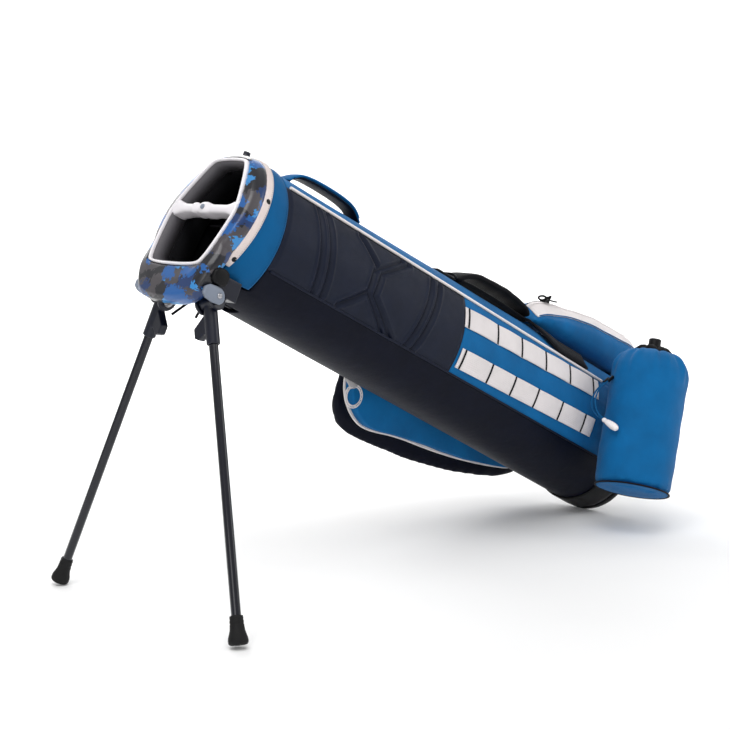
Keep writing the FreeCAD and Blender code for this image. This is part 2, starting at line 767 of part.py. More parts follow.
def make_apparel_pocket():
    """The long pocket on the far side: a gusset, a piped seam and the full front that hangs past it."""
    inner = [
        (30, 466), (-60, 470), (-92, 460), (-114, 436), (-125, 405), (-112, 338), (-108, 272), (-101, 206),
        (-90, 139), (-74, 71), (-40, 50), (30, 50),
    ]
    outer = [
        (28, 468), (-64, 472), (-108, 469), (-133, 450), (-143, 424), (-139, 306), (-126, 200), (-113, 147),
        (-98, 94), (-68, 44), (28, 44),
    ]

    def slice_of(corners, low, high):
        face = Part.Face(Part.makePolygon([Vector(x, low, z) for x, z in corners + corners[:1]]))
        return face.extrude(Vector(0, high - low, 0))

    gusset = slice_of(inner, 74, 92).cut(slab(-FAR, -58, 0, 80, 0, 900))
    gusset = gusset.cut(oval_solid(58, 600, GAP)).cut(oval_solid(10, 58 + GAP, DIMS["boot_wall"] + GAP))
    shape_part(gusset, "apparel_pocket_gusset")
    shape_part(slice_of(inner, 92.3, 94.3), "apparel_pocket_piping")
    shape_part(slice_of(outer, 94.6, 122), "apparel_pocket_front")


RING = Vector(-93, 75.2, 457)
RING_RADIUS = 14.5
RING_WIRE = 2.2


def make_ring():
    """The towel ring on a peg sewn to the gusset."""
    down = Vector(-math.cos(math.radians(DIMS["lean_angle"])), 0, -math.sin(math.radians(DIMS["lean_angle"])))
    peg_radius = 2.4
    peg = RING - down * (RING_RADIUS - RING_WIRE - peg_radius - GAP)
    torus = Part.makeTorus(RING_RADIUS, RING_WIRE, RING, Vector(0, 1, 0))
    shape_part(torus, "towel_ring")
    stem = Part.makeCylinder(peg_radius, 7, Vector(peg.x, 71.5, peg.z), Vector(0, 1, 0))
    tab = slab(peg.x - 7, peg.x + 10, 78.3, 79.8, peg.z - 12, peg.z + 12)
    shape_part(stem.fuse(tab), "towel_ring_tab")


# ---------------------------------------------------------------- the drawstring's two free ends

CORD_RADIUS = 1.2
TOGGLE_TOP = Vector(2, -112, 160)
TOGGLE_TIP = Vector(-9, -141, 160.2)
CORDS = {
    "drawstring_left": [
        (58, -87, 152), (46, -85, 160), (33, -85, 164), (21, -87, 165), (11, -93, 164), (5, -102, 162),
        (2, -112, 160),
    ],
    "drawstring_right": [
        (60, -96, 156), (48, -92, 163), (35, -93, 168), (23, -96, 169.5), (13, -101, 168), (6, -107, 165),
        (3.4, -112.4, 162),
    ],
}


def eyelet_places():
    """Where each cord end leaves its eyelet, and which way it leaves."""
    for points in CORDS.values():
        start = Vector(*points[0])
        yield start, (Vector(*points[1]) - start).normalize()


def cord_path(points):
    """Straight runs joined by tangent arcs, each as large as its two runs allow."""
    points = [Vector(*point) for point in points]
    edges = []
    radii = []
    start = points[0]
    for before, corner, after in zip(points, points[1:], points[2:]):
        to_before = (before - corner).normalize()
        to_after = (after - corner).normalize()
        turn = math.pi - to_before.getAngle(to_after)
        reach = 0.45 * min(corner.distanceToPoint(before), corner.distanceToPoint(after))
        radius = reach / math.tan(turn / 2)
        radii.append(radius)
        first = corner + to_before * reach
        last = corner + to_after * reach
        inwards = (to_before + to_after).normalize()
        centre = corner + inwards * (radius / math.cos(turn / 2))
        middle = centre - inwards * radius
        edges.append(Part.LineSegment(start, first).toShape())
        edges.append(Part.Arc(first, middle, last).toShape())
        start = last
    edges.append(Part.LineSegment(start, points[-1]).toShape())
    return Part.Wire(edges), radii


def make_cords():
    """The drawstring's two ends, the eyelets they leave the pouch by and the toggle that joins them."""
    eyelets = []
    for label, points in CORDS.items():
        path, radii = cord_path(points)
        start = Vector(*points[0])
        way = Vector(*points[1]) - start
        section = Part.Wire([Part.makeCircle(CORD_RADIUS, start, way)])
        tube = path.makePipeShell([section], True, True)
        expected = math.pi * CORD_RADIUS**2 * path.Length
        print(f"{label}: {path.Length:.1f} mm, volume {tube.Volume:.1f} of {expected:.1f}, radii",
              " ".join(f"{radius:.0f}" for radius in radii))
        shape_part(tube, label)
    for start, way in eyelet_places():
        eyelets.append(Part.makeCylinder(EYELET_RADIUS, EYELET_LENGTH, start - way * EYELET_LENGTH, way))
    shape_part(Part.makeCompound(eyelets), "drawstring_eyelets")

    way = TOGGLE_TIP - TOGGLE_TOP
    length = way.Length
    place = LEAN.multiply(Placement(TOGGLE_TOP, Rotation(Vector(0, 0, 1), way)))
    corners = [
        (0.0, 1.5), (3.4, 1.5), (4.0, 8.0), (5.2, 18.0), (5.0, length - 5.0), (3.0, length - 1.2),
        (0.0, length),
    ]
    turned("drawstring_toggle", corners, place)


make_tube()
make_divider()
make_top()
make_fastenings()
make_bracket()
for side in PIVOT:
    make_leg(side)
make_actuator()
make_base()
make_trim()
make_handle()
make_strap()
make_ball_pocket()
make_pouch()
make_apparel_pocket()
make_ring()
make_cords()
DOC.recompute()

for thing in DOC.Objects:
    bad = [state for state in thing.State if state in ("Invalid", "Error")]
    if bad:
        raise RuntimeError(f"{thing.Name} is {bad}")
for part in PARTS:
    if part.Shape.isNull() or not part.Shape.isValid():
        raise RuntimeError(f"{part.Label} has no valid shape")

os.makedirs("parts", exist_ok=True)
for part in PARTS:
    part.Shape.exportStep(os.path.join("parts", f"{part.Label}.step"))
    print(f"{part.Label}: {part.Shape.Volume / 1000:.1f} cm3, {len(part.Shape.Solids)} solid(s)")
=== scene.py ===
import math

import bmesh
import bpy
import numpy as np
from mathutils import Euler, Matrix, Vector
from mathutils.bvhtree import BVHTree


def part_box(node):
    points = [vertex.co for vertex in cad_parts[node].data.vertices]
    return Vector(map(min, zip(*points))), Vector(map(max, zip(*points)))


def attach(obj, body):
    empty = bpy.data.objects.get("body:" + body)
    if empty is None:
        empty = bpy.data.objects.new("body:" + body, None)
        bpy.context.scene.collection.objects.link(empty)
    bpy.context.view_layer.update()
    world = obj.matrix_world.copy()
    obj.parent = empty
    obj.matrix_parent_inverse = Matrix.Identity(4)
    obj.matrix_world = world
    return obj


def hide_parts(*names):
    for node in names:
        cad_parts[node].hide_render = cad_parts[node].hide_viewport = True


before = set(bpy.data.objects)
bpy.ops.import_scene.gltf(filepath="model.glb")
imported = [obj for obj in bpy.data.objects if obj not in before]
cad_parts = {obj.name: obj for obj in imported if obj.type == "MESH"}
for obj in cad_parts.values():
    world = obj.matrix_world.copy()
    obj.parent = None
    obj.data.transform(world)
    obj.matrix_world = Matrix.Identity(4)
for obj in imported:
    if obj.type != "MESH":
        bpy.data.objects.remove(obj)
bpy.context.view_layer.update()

# Golf stand bag leaning on its two legs.
#
# The bag has its own frame in millimetres, the one its CAD source uses: v is the depth (+v the spine,
# -v the leg side), y the width (-y the side with the pouch) and s runs up the tube. bag() turns a point
# of it into the row frame, in metres.

SCENE = bpy.context.scene
MM = 0.001
LEAN = math.radians(26)
ORIGIN = Vector((395.41, 4.74, 89.4)) * MM
DEPTH_WAY = Vector((math.sin(LEAN), 0, math.cos(LEAN)))
UP_WAY = Vector((-math.cos(LEAN), 0, math.sin(LEAN)))
BAG_MATRIX = Matrix.Translation(ORIGIN) @ Matrix(
    ((DEPTH_WAY.x, 0, UP_WAY.x), (0, 1, 0), (DEPTH_WAY.z, 0, UP_WAY.z))
).to_4x4()


def bag(v, y, s):
    return ORIGIN + DEPTH_WAY * (v * MM) + Vector((0, y * MM, 0)) + UP_WAY * (s * MM)


# ---------------------------------------------------------------- camera

CAMERA_PLACE = Vector((-1.4788, -1.4486, 0.5235))
CAMERA_TURN = Euler((math.radians(82.51), 0, math.radians(-43.37)))
camera_data = bpy.data.cameras.new("camera")
camera_data.lens = 76.41
camera_data.sensor_width = 36
camera = bpy.data.objects.new("camera", camera_data)
camera.location = CAMERA_PLACE
camera.rotation_euler = CAMERA_TURN
SCENE.collection.objects.link(camera)
SCENE.camera = camera

# ---------------------------------------------------------------- materials


def rgb(red, green, blue):
    """A linear colour from sRGB bytes."""
    parts = [c / 255 for c in (red, green, blue)]
    return (*[p / 12.92 if p <= 0.04045 else ((p + 0.055) / 1.055) ** 2.4 for p in parts], 1)


BLUE = rgb(2, 94, 150)
NAVY = rgb(11, 19, 38)
NAVY_SMOOTH = rgb(4, 8, 25)
WHITE = rgb(226, 220, 220)


class Nodes:
    """A small builder for one material's node tree."""

    def __init__(self, name):
        self.material = bpy.data.materials.new(name)
        self.material.use_nodes = True
        self.tree = self.material.node_tree
        self.shader = self.tree.nodes["Principled BSDF"]
        self.place = self.tree.nodes.new("ShaderNodeTexCoord").outputs["Object"]

    def feed(self, socket, value):
        """Link another node's output to the socket, or set the socket's own value."""
        if isinstance(value, bpy.types.NodeSocket):
            self.tree.links.new(value, socket)
        else:
            socket.default_value = value

    def add(self, kind, **values):
        """A node: a name with two leading letters i_ sets an input, the others set attributes."""
        node = self.tree.nodes.new(kind)
        for key, value in values.items():
            if key.startswith("i_"):
                self.feed(node.inputs[key[2:].replace("_", " ")], value)
            else:
                setattr(node, key, value)
        return node

    def math(self, operation, first, second=0.0):
        node = self.add("ShaderNodeMath", operation=operation)
        self.feed(node.inputs[0], first)
        self.feed(node.inputs[1], second)
        return node.outputs[0]

    def scaled(self, value, factor, plus=None):
        """The value times a factor, plus a number where one is given."""
        value = self.math("MULTIPLY", value, factor)
        return value if plus is None else self.math("ADD", value, plus)

    def mapped(self, turn=(0, 0, 0), scale=(1, 1, 1)):
        return self.add("ShaderNodeMapping", i_Vector=self.place, i_Rotation=turn, i_Scale=scale).outputs[0]

    def waves(self, pitch, across, along):
        """Two sine waves, across the bag and along it, with so many waves to a pitch in metres."""
        lean = self.mapped(turn=(0, math.pi / 2 - LEAN, 0))
        axes = self.add("ShaderNodeSeparateXYZ", i_Vector=lean).outputs
        turns = 2 * math.pi / pitch
        first = self.math("SINE", self.scaled(self.math("ADD", axes["X"], axes["Y"]), turns * across))
        return first, self.math("SINE", self.scaled(axes["Z"], turns * along))

    def noise(self, scale, detail, vector=None):
        return self.add(
            "ShaderNodeTexNoise", i_Vector=vector or self.place, i_Scale=scale, i_Detail=detail,
            i_Roughness=0.55,
        ).outputs[0]

    def ramp(self, factor, stops, constant=False):
        node = self.tree.nodes.new("ShaderNodeValToRGB")
        ramp = node.color_ramp
        if constant:
            ramp.interpolation = "CONSTANT"
        while len(ramp.elements) < len(stops):
            ramp.elements.new(1)
        for element, (position, colour) in zip(ramp.elements, stops):
            element.position = position
            element.color = colour
        self.feed(node.inputs[0], factor)
        return node.outputs[0]

    def patches(self, field, colour, low, high, end=0.7):
        """The colour in soft patches, between low and high times its brightness."""
        return self.ramp(field, [(0.3, shade(colour, low)), (end, shade(colour, high))])

    def mix(self, factor, first, second):
        node = self.add("ShaderNodeMix", data_type="RGBA")
        for name, value in (("Factor_Float", factor), ("A_Color", first), ("B_Color", second)):
            self.feed(next(s for s in node.inputs if s.identifier == name), value)
        return next(s for s in node.outputs if s.identifier == "Result_Color")

    def bump(self, height, strength, distance, normal=None):
        node = self.add("ShaderNodeBump", i_Height=height, i_Strength=strength, i_Distance=distance)
        if normal is not None:
            self.feed(node.inputs["Normal"], normal)
        return node.outputs[0]

    def set(self, **values):
        for key, value in values.items():
            self.feed(self.shader.inputs[key.replace("_", " ")], value)
        return self.material


def shade(colour, factor):
    return (*[min(1.0, c * factor) for c in colour[:3]], 1)


# the scale of the soft creases in cloth
CREASES = 60


def woven(name, colour, thread=0.0011, strength=0.35, rough=0.72, wear=0.16, sheen=0.05, gloss=0.14):
    """Cloth: crossed threads along the bag and across it, faded patches and soft creases."""
    n = Nodes(name)
    warp, weft = n.waves(thread, 0.7071, 1)
    weave = n.scaled(n.math("ADD", n.math("MULTIPLY", warp, weft), 1.0), 0.5)
    flecks = n.noise(900, 2)
    base = n.patches(n.noise(22, 5), colour, 1 - wear, 1 + wear)
    base = n.mix(n.scaled(weave, 0.22), base, shade(colour, 0.62))
    base = n.mix(n.scaled(flecks, 0.10), base, shade(colour, 1.35))
    normal = n.bump(n.noise(CREASES, 3), 0.28, 0.0018)
    normal = n.bump(weave, strength, 0.0003, normal)
    return n.set(
        Base_Color=base, Roughness=n.scaled(flecks, 0.14, rough - 0.07), Normal=normal,
        Sheen_Weight=sheen, Sheen_Roughness=0.45, Specular_IOR_Level=gloss,
    )


def moulded(name, colour, rough=0.45, grain=1500, strength=0.12, wear=0.1, coat=0.0, gloss=0.3):
    """Moulded plastic, paint or rubber: a fine grain, handling marks, a little colour change and painted
    shade that darkens its recesses.
    """
    n = Nodes(name)
    base = n.patches(n.noise(35, 4), colour, 1 - wear, 1 + wear, 0.72)
    edges = n.add("ShaderNodeNewGeometry").outputs["Pointiness"]
    worn = n.ramp(edges, [(0.53, (0, 0, 0, 1)), (0.6, (1, 1, 1, 1))])
    # painted shade: where pointiness is low, in grooves and recesses, the colour darkens towards 0.3 times
    # itself
    painted_recess_shade = n.ramp(edges, [(0.42, (1, 1, 1, 1)), (0.49, (0, 0, 0, 1))])
    base = n.mix(n.scaled(worn, 0.25), base, shade(colour, 1.9))
    base = n.mix(n.scaled(painted_recess_shade, 0.6), base, shade(colour, 0.3))
    return n.set(
        Base_Color=base, Roughness=n.scaled(n.noise(90, 5), 0.22, rough - 0.11), Coat_Weight=coat,
        Coat_Roughness=0.12, Specular_IOR_Level=gloss, Normal=n.bump(n.noise(grain, 2), strength, 0.0002),
    )


def camouflage(name):
    """Gloss moulding printed with plain angular camouflage patches."""
    n = Nodes(name)
    jags = n.add("ShaderNodeTexVoronoi", i_Vector=n.mapped(scale=(1, 1.3, 1)), i_Scale=230.0).outputs["Color"]
    offset = n.add("ShaderNodeVectorMath", operation="MULTIPLY_ADD")
    for socket, value in zip(offset.inputs, (jags, (0.0045, 0.0045, 0.0045), n.place)):
        n.feed(socket, value)
    stretched = n.add("ShaderNodeMapping", i_Vector=offset.outputs[0], i_Scale=(0.9, 1.0, 1.5)).outputs[0]
    patches = n.add("ShaderNodeTexVoronoi", i_Vector=stretched, i_Scale=52.0).outputs["Color"]
    draw = n.add("ShaderNodeSeparateColor", i_Color=patches).outputs[0]
    base = n.ramp(draw, [(0.0, rgb(10, 12, 22)), (0.34, rgb(10, 84, 152)), (0.56, rgb(9, 46, 96)),
                         (0.68, rgb(66, 62, 66)), (0.90, rgb(44, 128, 192))], True)
    return n.set(Base_Color=base, Roughness=n.scaled(n.noise(70, 4), 0.16, 0.24), Coat_Weight=0.25,
                 Coat_Roughness=0.15, Normal=n.bump(n.noise(1300, 2), 0.05, 0.0002))


def ribbed(name, colour, pitch=0.0022, strength=0.5):
    """Flat webbing: fine ribs along its length with a woven edge."""
    n = Nodes(name)
    ribs, cross = n.waves(pitch, 1, 1.6)
    height = n.math("ADD", ribs, n.scaled(cross, 0.5))
    base = n.patches(n.noise(28, 5), colour, 0.9, 1.04)
    base = n.mix(n.scaled(n.scaled(height, 0.33, 0.5), 0.14), base, shade(colour, 0.7))
    return n.set(Base_Color=base, Roughness=0.75, Normal=n.bump(height, strength, 0.00025),
                 Sheen_Weight=0.2, Specular_IOR_Level=0.3)


def metal(name, colour, rough):
    n = Nodes(name)
    grain = n.noise(240, 4, n.mapped(scale=(1, 1, 9)))
    base = n.patches(grain, colour, 0.86, 1.1)
    return n.set(Base_Color=base, Metallic=1.0, Roughness=n.scaled(grain, 0.2, rough - 0.1),
                 Normal=n.bump(grain, 0.1, 0.0002))


M = {
    "blue": woven("blue_cloth", BLUE),
    "blue_fine": woven("blue_fine_cloth", shade(BLUE, 0.96), thread=0.0008, rough=0.68),
    "sleeve": woven("sleeve_cloth", shade(BLUE, 0.82), thread=0.0013, rough=0.8, wear=0.12),
    "navy": woven(
        "navy_coated_cloth", NAVY_SMOOTH, thread=0.0007, strength=0.14, rough=0.5, wear=0.2, sheen=0.0,
        gloss=0.12,
    ),
    "panel": moulded("soft_touch_panel", NAVY, rough=0.5, grain=2200, strength=0.22, wear=0.14, gloss=0.2),
    "black_cloth": woven("black_cloth", rgb(8, 8, 11), rough=0.82, wear=0.25),
    "lining": woven("lining_cloth", rgb(9, 9, 12), rough=0.9, wear=0.2, sheen=0.0),
    "strap": woven("strap_mesh", rgb(8, 9, 14), thread=0.0024, strength=0.7, rough=0.82, wear=0.25),
    "white_webbing": ribbed("white_webbing", WHITE),
    "white_band": ribbed("pale_band", rgb(226, 212, 208), pitch=0.0016),
    "white_piping": ribbed("white_piping", rgb(240, 234, 232), pitch=0.0014, strength=0.3),
    "black_webbing": ribbed("black_webbing", rgb(8, 8, 12)),
    "stitch": woven("stitch_thread", rgb(12, 13, 20), thread=0.0009, strength=0.6),
    "blue_stitch": woven("blue_stitch_thread", shade(BLUE, 0.6), thread=0.0009, strength=0.6),
    "camouflage": camouflage("camouflage_moulding"),
    "lip": moulded("white_lip", rgb(232, 228, 232), rough=0.33, wear=0.03, coat=0.15),
    "inner": moulded("grey_inner_wall", rgb(78, 76, 80), rough=0.5, wear=0.12),
    "grey": moulded("grey_moulding", rgb(120, 128, 142), rough=0.38, wear=0.08, coat=0.1),
    "navy_gloss": moulded("navy_moulding", rgb(13, 17, 32), rough=0.34, wear=0.1, coat=0.2),
    "leg": moulded("leg_paint", rgb(8, 10, 22), rough=0.2, grain=600, strength=0.04, wear=0.1, coat=0.4),
    "rubber": moulded("foot_rubber", rgb(7, 7, 8), rough=0.68, grain=900, strength=0.35, wear=0.2),
    "black": moulded("black_plastic", rgb(6, 6, 8), rough=0.4, wear=0.15, gloss=0.2),
    "wire": metal("black_wire", rgb(40, 40, 44), 0.35),
    "steel": metal("bright_steel", rgb(176, 176, 180), 0.28),
    "white_plastic": moulded("white_plastic", rgb(238, 232, 232), rough=0.28, wear=0.03, coat=0.2),
    "tab": woven("grey_tab", rgb(178, 176, 178), rough=0.7, wear=0.06),
    "cord": woven("blue_cord", shade(BLUE, 0.75), thread=0.0008, strength=0.8, rough=0.8),
}

# ---------------------------------------------------------------- cords

CORD_RADIUS = 1.2
CORDS = {
    "drawstring_left": (0.073, [
        (58, -87, 152), (46, -85, 160), (33, -85, 164), (21, -87, 165), (11, -93, 164), (5, -102, 162),
        (2, -112, 160),
    ]),
    "drawstring_right": (0.068, [
        (60, -96, 156), (48, -92, 163), (35, -93, 168), (23, -96, 169.5), (13, -101, 168), (6, -107, 165),
        (3.4, -112.4, 162),
    ]),
}


def spline_piece(name, points, radius, body, slot, material, closed=False, order=3):
    """A round cord or piping, radius in mm: one NURBS spline whose control points are bag points."""
    data = bpy.data.curves.new(name, "CURVE")
    data.dimensions = "3D"
    data.bevel_depth = radius * MM
    data.bevel_resolution = 3
    data.resolution_u = 12
    data.use_fill_caps = True
    line = data.splines.new("NURBS")
    line.points.add(len(points) - 1)
    for target, point in zip(line.points, points):
        target.co = (*bag(*point), 1)
    line.order_u = order
    line.use_endpoint_u = not closed
    line.use_cyclic_u = closed
    data.materials.append(material)
    piece = bpy.data.objects.new(name, data)
    SCENE.collection.objects.link(piece)
    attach(piece, body)
    return piece


# ---------------------------------------------------------------- mesh code


def new_mesh(name, points, faces, material, smooth=True):
    """A mesh object from bag points (mm) and faces, with its normals turned outwards."""
    mesh = bpy.data.meshes.new(name)
    mesh.from_pydata([bag(*p) for p in points], [], faces)
    work = bmesh.new()
    work.from_mesh(mesh)
    bmesh.ops.remove_doubles(work, verts=work.verts, dist=1e-6)
    bmesh.ops.recalc_face_normals(work, faces=work.faces)
    work.to_mesh(mesh)
    work.free()
    mesh.materials.append(material)
    piece = bpy.data.objects.new(name, mesh)
    SCENE.collection.objects.link(piece)
    return smooth_shade(piece) if smooth else piece


def smooth_shade(piece):
    for polygon in piece.data.polygons:
        polygon.use_smooth = True
    return piece


def apply_modifiers(piece):
    """Replace the piece's mesh by what its modifiers make of it."""
    bpy.context.view_layer.update()
    graph = bpy.context.evaluated_depsgraph_get()
    mesh = bpy.data.meshes.new_from_object(piece.evaluated_get(graph), depsgraph=graph)
    piece.modifiers.clear()
    piece.data = mesh
    return piece


def modify(piece, kind, **values):
    modifier = piece.modifiers.new(kind.lower(), kind)
    for key, value in values.items():
        setattr(modifier, key, value)
    return modifier


BOX_FACES = [(0, 1, 3, 2), (4, 6, 7, 5), (0, 4, 5, 1), (2, 3, 7, 6), (0, 2, 6, 4), (1, 5, 7, 3)]


def box_corners(low, high):
    """The corners of the box between two bag points, in the order that BOX_FACES counts them."""
    return [(v, y, s) for v in (low[0], high[0]) for y in (low[1], high[1]) for s in (low[2], high[2])]


def cut_box(piece, low, high):
    """Cut the box between two bag points out of the piece."""
    cutter = new_mesh("cutter", box_corners(low, high), BOX_FACES, piece.data.materials[0], smooth=False)
    modify(piece, "BOOLEAN", operation="DIFFERENCE", object=cutter, solver="EXACT")
    apply_modifiers(piece)
    bpy.data.objects.remove(cutter)
    return piece


def place(piece, body, slot, *nodes):
    """Ride on a body and stand for CAD nodes, which are hidden; slot is not used."""
    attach(piece, body)
    if nodes:
        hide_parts(*nodes)
    return piece


def strip_faces(rows, columns, around=False, closed=False):
    """Quads over a grid of rows x columns; around closes each row, closed joins last row to first."""
    faces = []
    for r in range(rows if closed else rows - 1):
        for c in range(columns if around else columns - 1):
            a = r * columns + c
            b = r * columns + (c + 1) % columns
            d = (r + 1) % rows * columns + c
            e = (r + 1) % rows * columns + (c + 1) % columns
            faces.append((a, b, e, d))
    return faces


def lofted(name, loops, material):
    """A skin through closed loops of equal length, with flat ends."""
    count = len(loops[0])
    start = (len(loops) - 1) * count
    faces = strip_faces(len(loops), count, around=True)
    faces += [tuple(range(count - 1, -1, -1)), tuple(range(start, start + count))]
    return new_mesh(name, [p for loop in loops for p in loop], faces, material)


def remeshed(piece, voxel, rounds):
    """Voxel remesh, then smoothing, which rounds every edge as a mould does."""
    modify(piece, "REMESH", mode="VOXEL", voxel_size=voxel * MM)
    modify(piece, "SMOOTH", iterations=rounds, factor=0.5)
    apply_modifiers(piece)
    return smooth_shade(piece)


def cad_copy(name, node, material):
    """A new object with a copy of a CAD node's mesh, to be rounded off by modifiers."""
    piece = bpy.data.objects.new(name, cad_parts[node].data.copy())
    piece.data.materials.clear()
    piece.data.materials.append(material)
    SCENE.collection.objects.link(piece)
    return piece


CLOTH_STEPS = 20


def inflate(piece, voxel, pressure, cap, pinned):
    """Cloth pressure with gravity off: a point moves cap mm at most, and not at all where it is pinned."""
    modify(piece, "REMESH", mode="VOXEL", voxel_size=voxel * MM)
    apply_modifiers(piece)
    rest = np.array([v.co for v in piece.data.vertices])
    group = piece.vertex_groups.new(name="pin")
    group.add([i for i, p in enumerate(rest) if pinned(*unbag(p))], 1.0, "REPLACE")
    cloth = modify(piece, "CLOTH")
    settings = cloth.settings
    settings.quality = 5
    settings.mass = 0.3
    settings.tension_stiffness = 18
    settings.compression_stiffness = 12
    settings.shear_stiffness = 8
    settings.bending_stiffness = 0.6
    settings.use_pressure = True
    settings.uniform_pressure_force = pressure
    settings.effector_weights.gravity = 0
    settings.vertex_group_mass = "pin"
    cloth.point_cache.frame_start = 1
    cloth.point_cache.frame_end = CLOTH_STEPS
    for step in range(1, CLOTH_STEPS + 1):
        SCENE.frame_set(step)
    apply_modifiers(piece)
    piece.vertex_groups.clear()
    moved = np.array([v.co for v in piece.data.vertices]) - rest
    far = np.linalg.norm(moved, axis=1, keepdims=True)
    moved *= np.minimum(1.0, cap * MM / np.maximum(far, 1e-9))
    piece.data.vertices.foreach_set("co", (rest + moved).ravel())
    SCENE.frame_set(1)
    modify(piece, "SMOOTH", iterations=3, factor=0.5)
    modify(piece, "SUBSURF", levels=1, render_levels=1)
    return smooth_shade(apply_modifiers(piece))


BAG_INVERSE = BAG_MATRIX.inverted()


def unbag(point):
    """The bag's (v, y, s) in mm of a point in the row frame."""
    return tuple(c / MM for c in BAG_INVERSE @ Vector(point))


def push(piece, move):
    """Move every vertex by what move(v, y, s) returns, in bag mm."""
    for vertex in piece.data.vertices:
        v, y, s = unbag(vertex.co)
        dv, dy, ds = move(v, y, s)
        vertex.co = bag(v + dv, y + dy, s + ds)
    return piece


def ripple(a, b, c):
    """A smooth made-up unevenness between -1 and 1."""
    return (
        math.sin(a * 1.0 + 1.3 * math.sin(b * 0.7 + 0.4)) * 0.5
        + math.sin(b * 1.7 + 0.9 * math.sin(c * 1.1 + a * 0.3)) * 0.3
        + math.sin((a + c) * 2.3 + b) * 0.2
    )


def smoothstep(value, low, high):
    share = min(1.0, max(0.0, (value - low) / (high - low)))
    return share * share * (3 - 2 * share)


def mixed(a, b, share):
    return a + (b - a) * share


def unit(vector):
    return vector / np.linalg.norm(vector)


def circle(count):
    """That many angles, evenly spread round a full turn."""
    return np.linspace(0, 2 * math.pi, count, endpoint=False)


def rounded(corners, rounds=3):
    """A closed outline with its corners cut again and again."""
    points = [np.array(p, float) for p in corners]
    for _ in range(rounds):
        cut = []
        for here, there in zip(points, points[1:] + points[:1]):
            cut.extend((here * 0.75 + there * 0.25, here * 0.25 + there * 0.75))
        points = cut
    return points


def resampled(points, count, closed=True):
    """Points spread evenly along an outline."""
    points = [np.array(p, float) for p in points]
    if closed:
        points.append(points[0])
    lengths = np.array([0.0] + [np.linalg.norm(b - a) for a, b in zip(points, points[1:])]).cumsum()
    table = np.array(points)
    wanted = np.linspace(0, lengths[-1], count + 1)[:-1] if closed else np.linspace(0, lengths[-1], count)
    return np.stack([np.interp(wanted, lengths, table[:, k]) for k in range(table.shape[1])], axis=1)


# ---------------------------------------------------------------- the oval tube

HALF_WIDTH = 74.0
END_RADIUS = 66.0


def half_depth(s):
    return 99.5 - 12.5 * s / 800


def side_radius(s):
    half = half_depth(s)
    return (HALF_WIDTH**2 + half**2 - 2 * half * END_RADIUS) / (2 * (HALF_WIDTH - END_RADIUS))


def on_tube(facing, s, offset=0.0):
    """(v, y) of the tube's surface where it faces that angle: 0 the spine, 90 the near side, 180 the legs."""
    reach = half_depth(s) - END_RADIUS
    big = side_radius(s)
    joint = math.atan2(reach, big - HALF_WIDTH)
    angle = math.radians(facing)
    c, n = math.cos(angle), math.sin(angle)
    if abs(c) > math.sin(joint):
        return math.copysign(reach, c) + (END_RADIUS + offset) * c, -(END_RADIUS + offset) * n
    y = (big + offset) * abs(n) - (big - HALF_WIDTH)
    return (big + offset) * c, -math.copysign(y, n)


def on_skin(facing, s, offset):
    """The bag point that far over the tube's surface, in mm."""
    return (*on_tube(facing, s, offset), s)


def facing_of(v, s):
    """The angle that the near side faces at depth v."""
    reach = half_depth(s) - END_RADIUS
    big = side_radius(s)
    joint = math.atan2(reach, big - HALF_WIDTH)
    if abs(v) < big * math.sin(joint):
        return math.degrees(math.acos(v / big))
    share = (abs(v) - reach) / END_RADIUS * math.copysign(1, v)
    return math.degrees(math.acos(max(-1.0, min(1.0, share))))


def skin(name, material, span, low, high, slot, nodes, lift, steps, wall=2.0):
    """A sewn panel on the tube between two facings (functions of s) and two heights (functions of facing).

    lift(v, y, s, across, along) raises its outer face, in mm; wall is how far it reaches into the tube.
    """
    across_count, along_count = steps
    middle = (low(90) + high(90)) / 2
    outer, inner = [], []
    for i in range(along_count):
        along = i / (along_count - 1)
        for j in range(across_count):
            across = j / (across_count - 1)
            facing = mixed(span[0](middle), span[1](middle), across)
            s = mixed(low(facing), high(facing), along)
            facing = mixed(span[0](s), span[1](s), across)
            outer.append(on_skin(facing, s, lift(*on_tube(facing, s), s, across, along)))
            inner.append(on_skin(facing, s, -wall))
    count = len(outer)
    faces = strip_faces(along_count, across_count)
    faces += [tuple(count + k for k in reversed(face)) for face in faces]
    rim = (
        list(range(across_count))
        + [i * across_count + across_count - 1 for i in range(1, along_count)]
        + [(along_count - 1) * across_count + j for j in range(across_count - 2, -1, -1)]
        + [i * across_count for i in range(along_count - 2, 0, -1)]
    )
    for here, there in zip(rim, rim[1:] + rim[:1]):
        faces.append((here, count + here, count + there, there))
    return place(new_mesh(name, outer + inner, faces, material), "bag", slot, *nodes)


def ribbon_line(name, points, normals, width, thick, material, slot, node):
    """A flat strip through bag points: normals give its outer way at each point."""
    rows = []
    points = [np.array(p, float) for p in points]
    half = width / 2
    for i, point in enumerate(points):
        along = unit(points[min(i + 1, len(points) - 1)] - points[max(i - 1, 0)])
        out = np.array(normals[i], float)
        out = unit(out - along * (out @ along))
        side = np.cross(along, out)
        upper = half * 0.96
        rows.append([
            point + side * half, point + side * upper + out * thick, point - side * upper + out * thick,
            point - side * half,
        ])
    return place(lofted(name, rows, material), "bag", slot, node)


# ---------------------------------------------------------------- drawstring

TOGGLE_TOP = np.array((2.0, -112.0, 160.0))
TOGGLE_TIP = np.array((-9.0, -141.0, 160.2))


def turned_piece(name, start, end, outline, material, sides=32):
    """A turned piece from start towards end: the outline is (distance, radius) pairs in mm."""
    start, end = np.array(start, float), np.array(end, float)
    way = unit(end - start)
    side = unit(np.cross(way, (0.31, 0.22, 0.92)))
    other = np.cross(way, side)
    loops = []
    for distance, radius in outline:
        loops.append([
            tuple(start + way * distance + (side * math.cos(t) + other * math.sin(t)) * radius)
            for t in circle(sides)
        ])
    return lofted(name, loops, material)


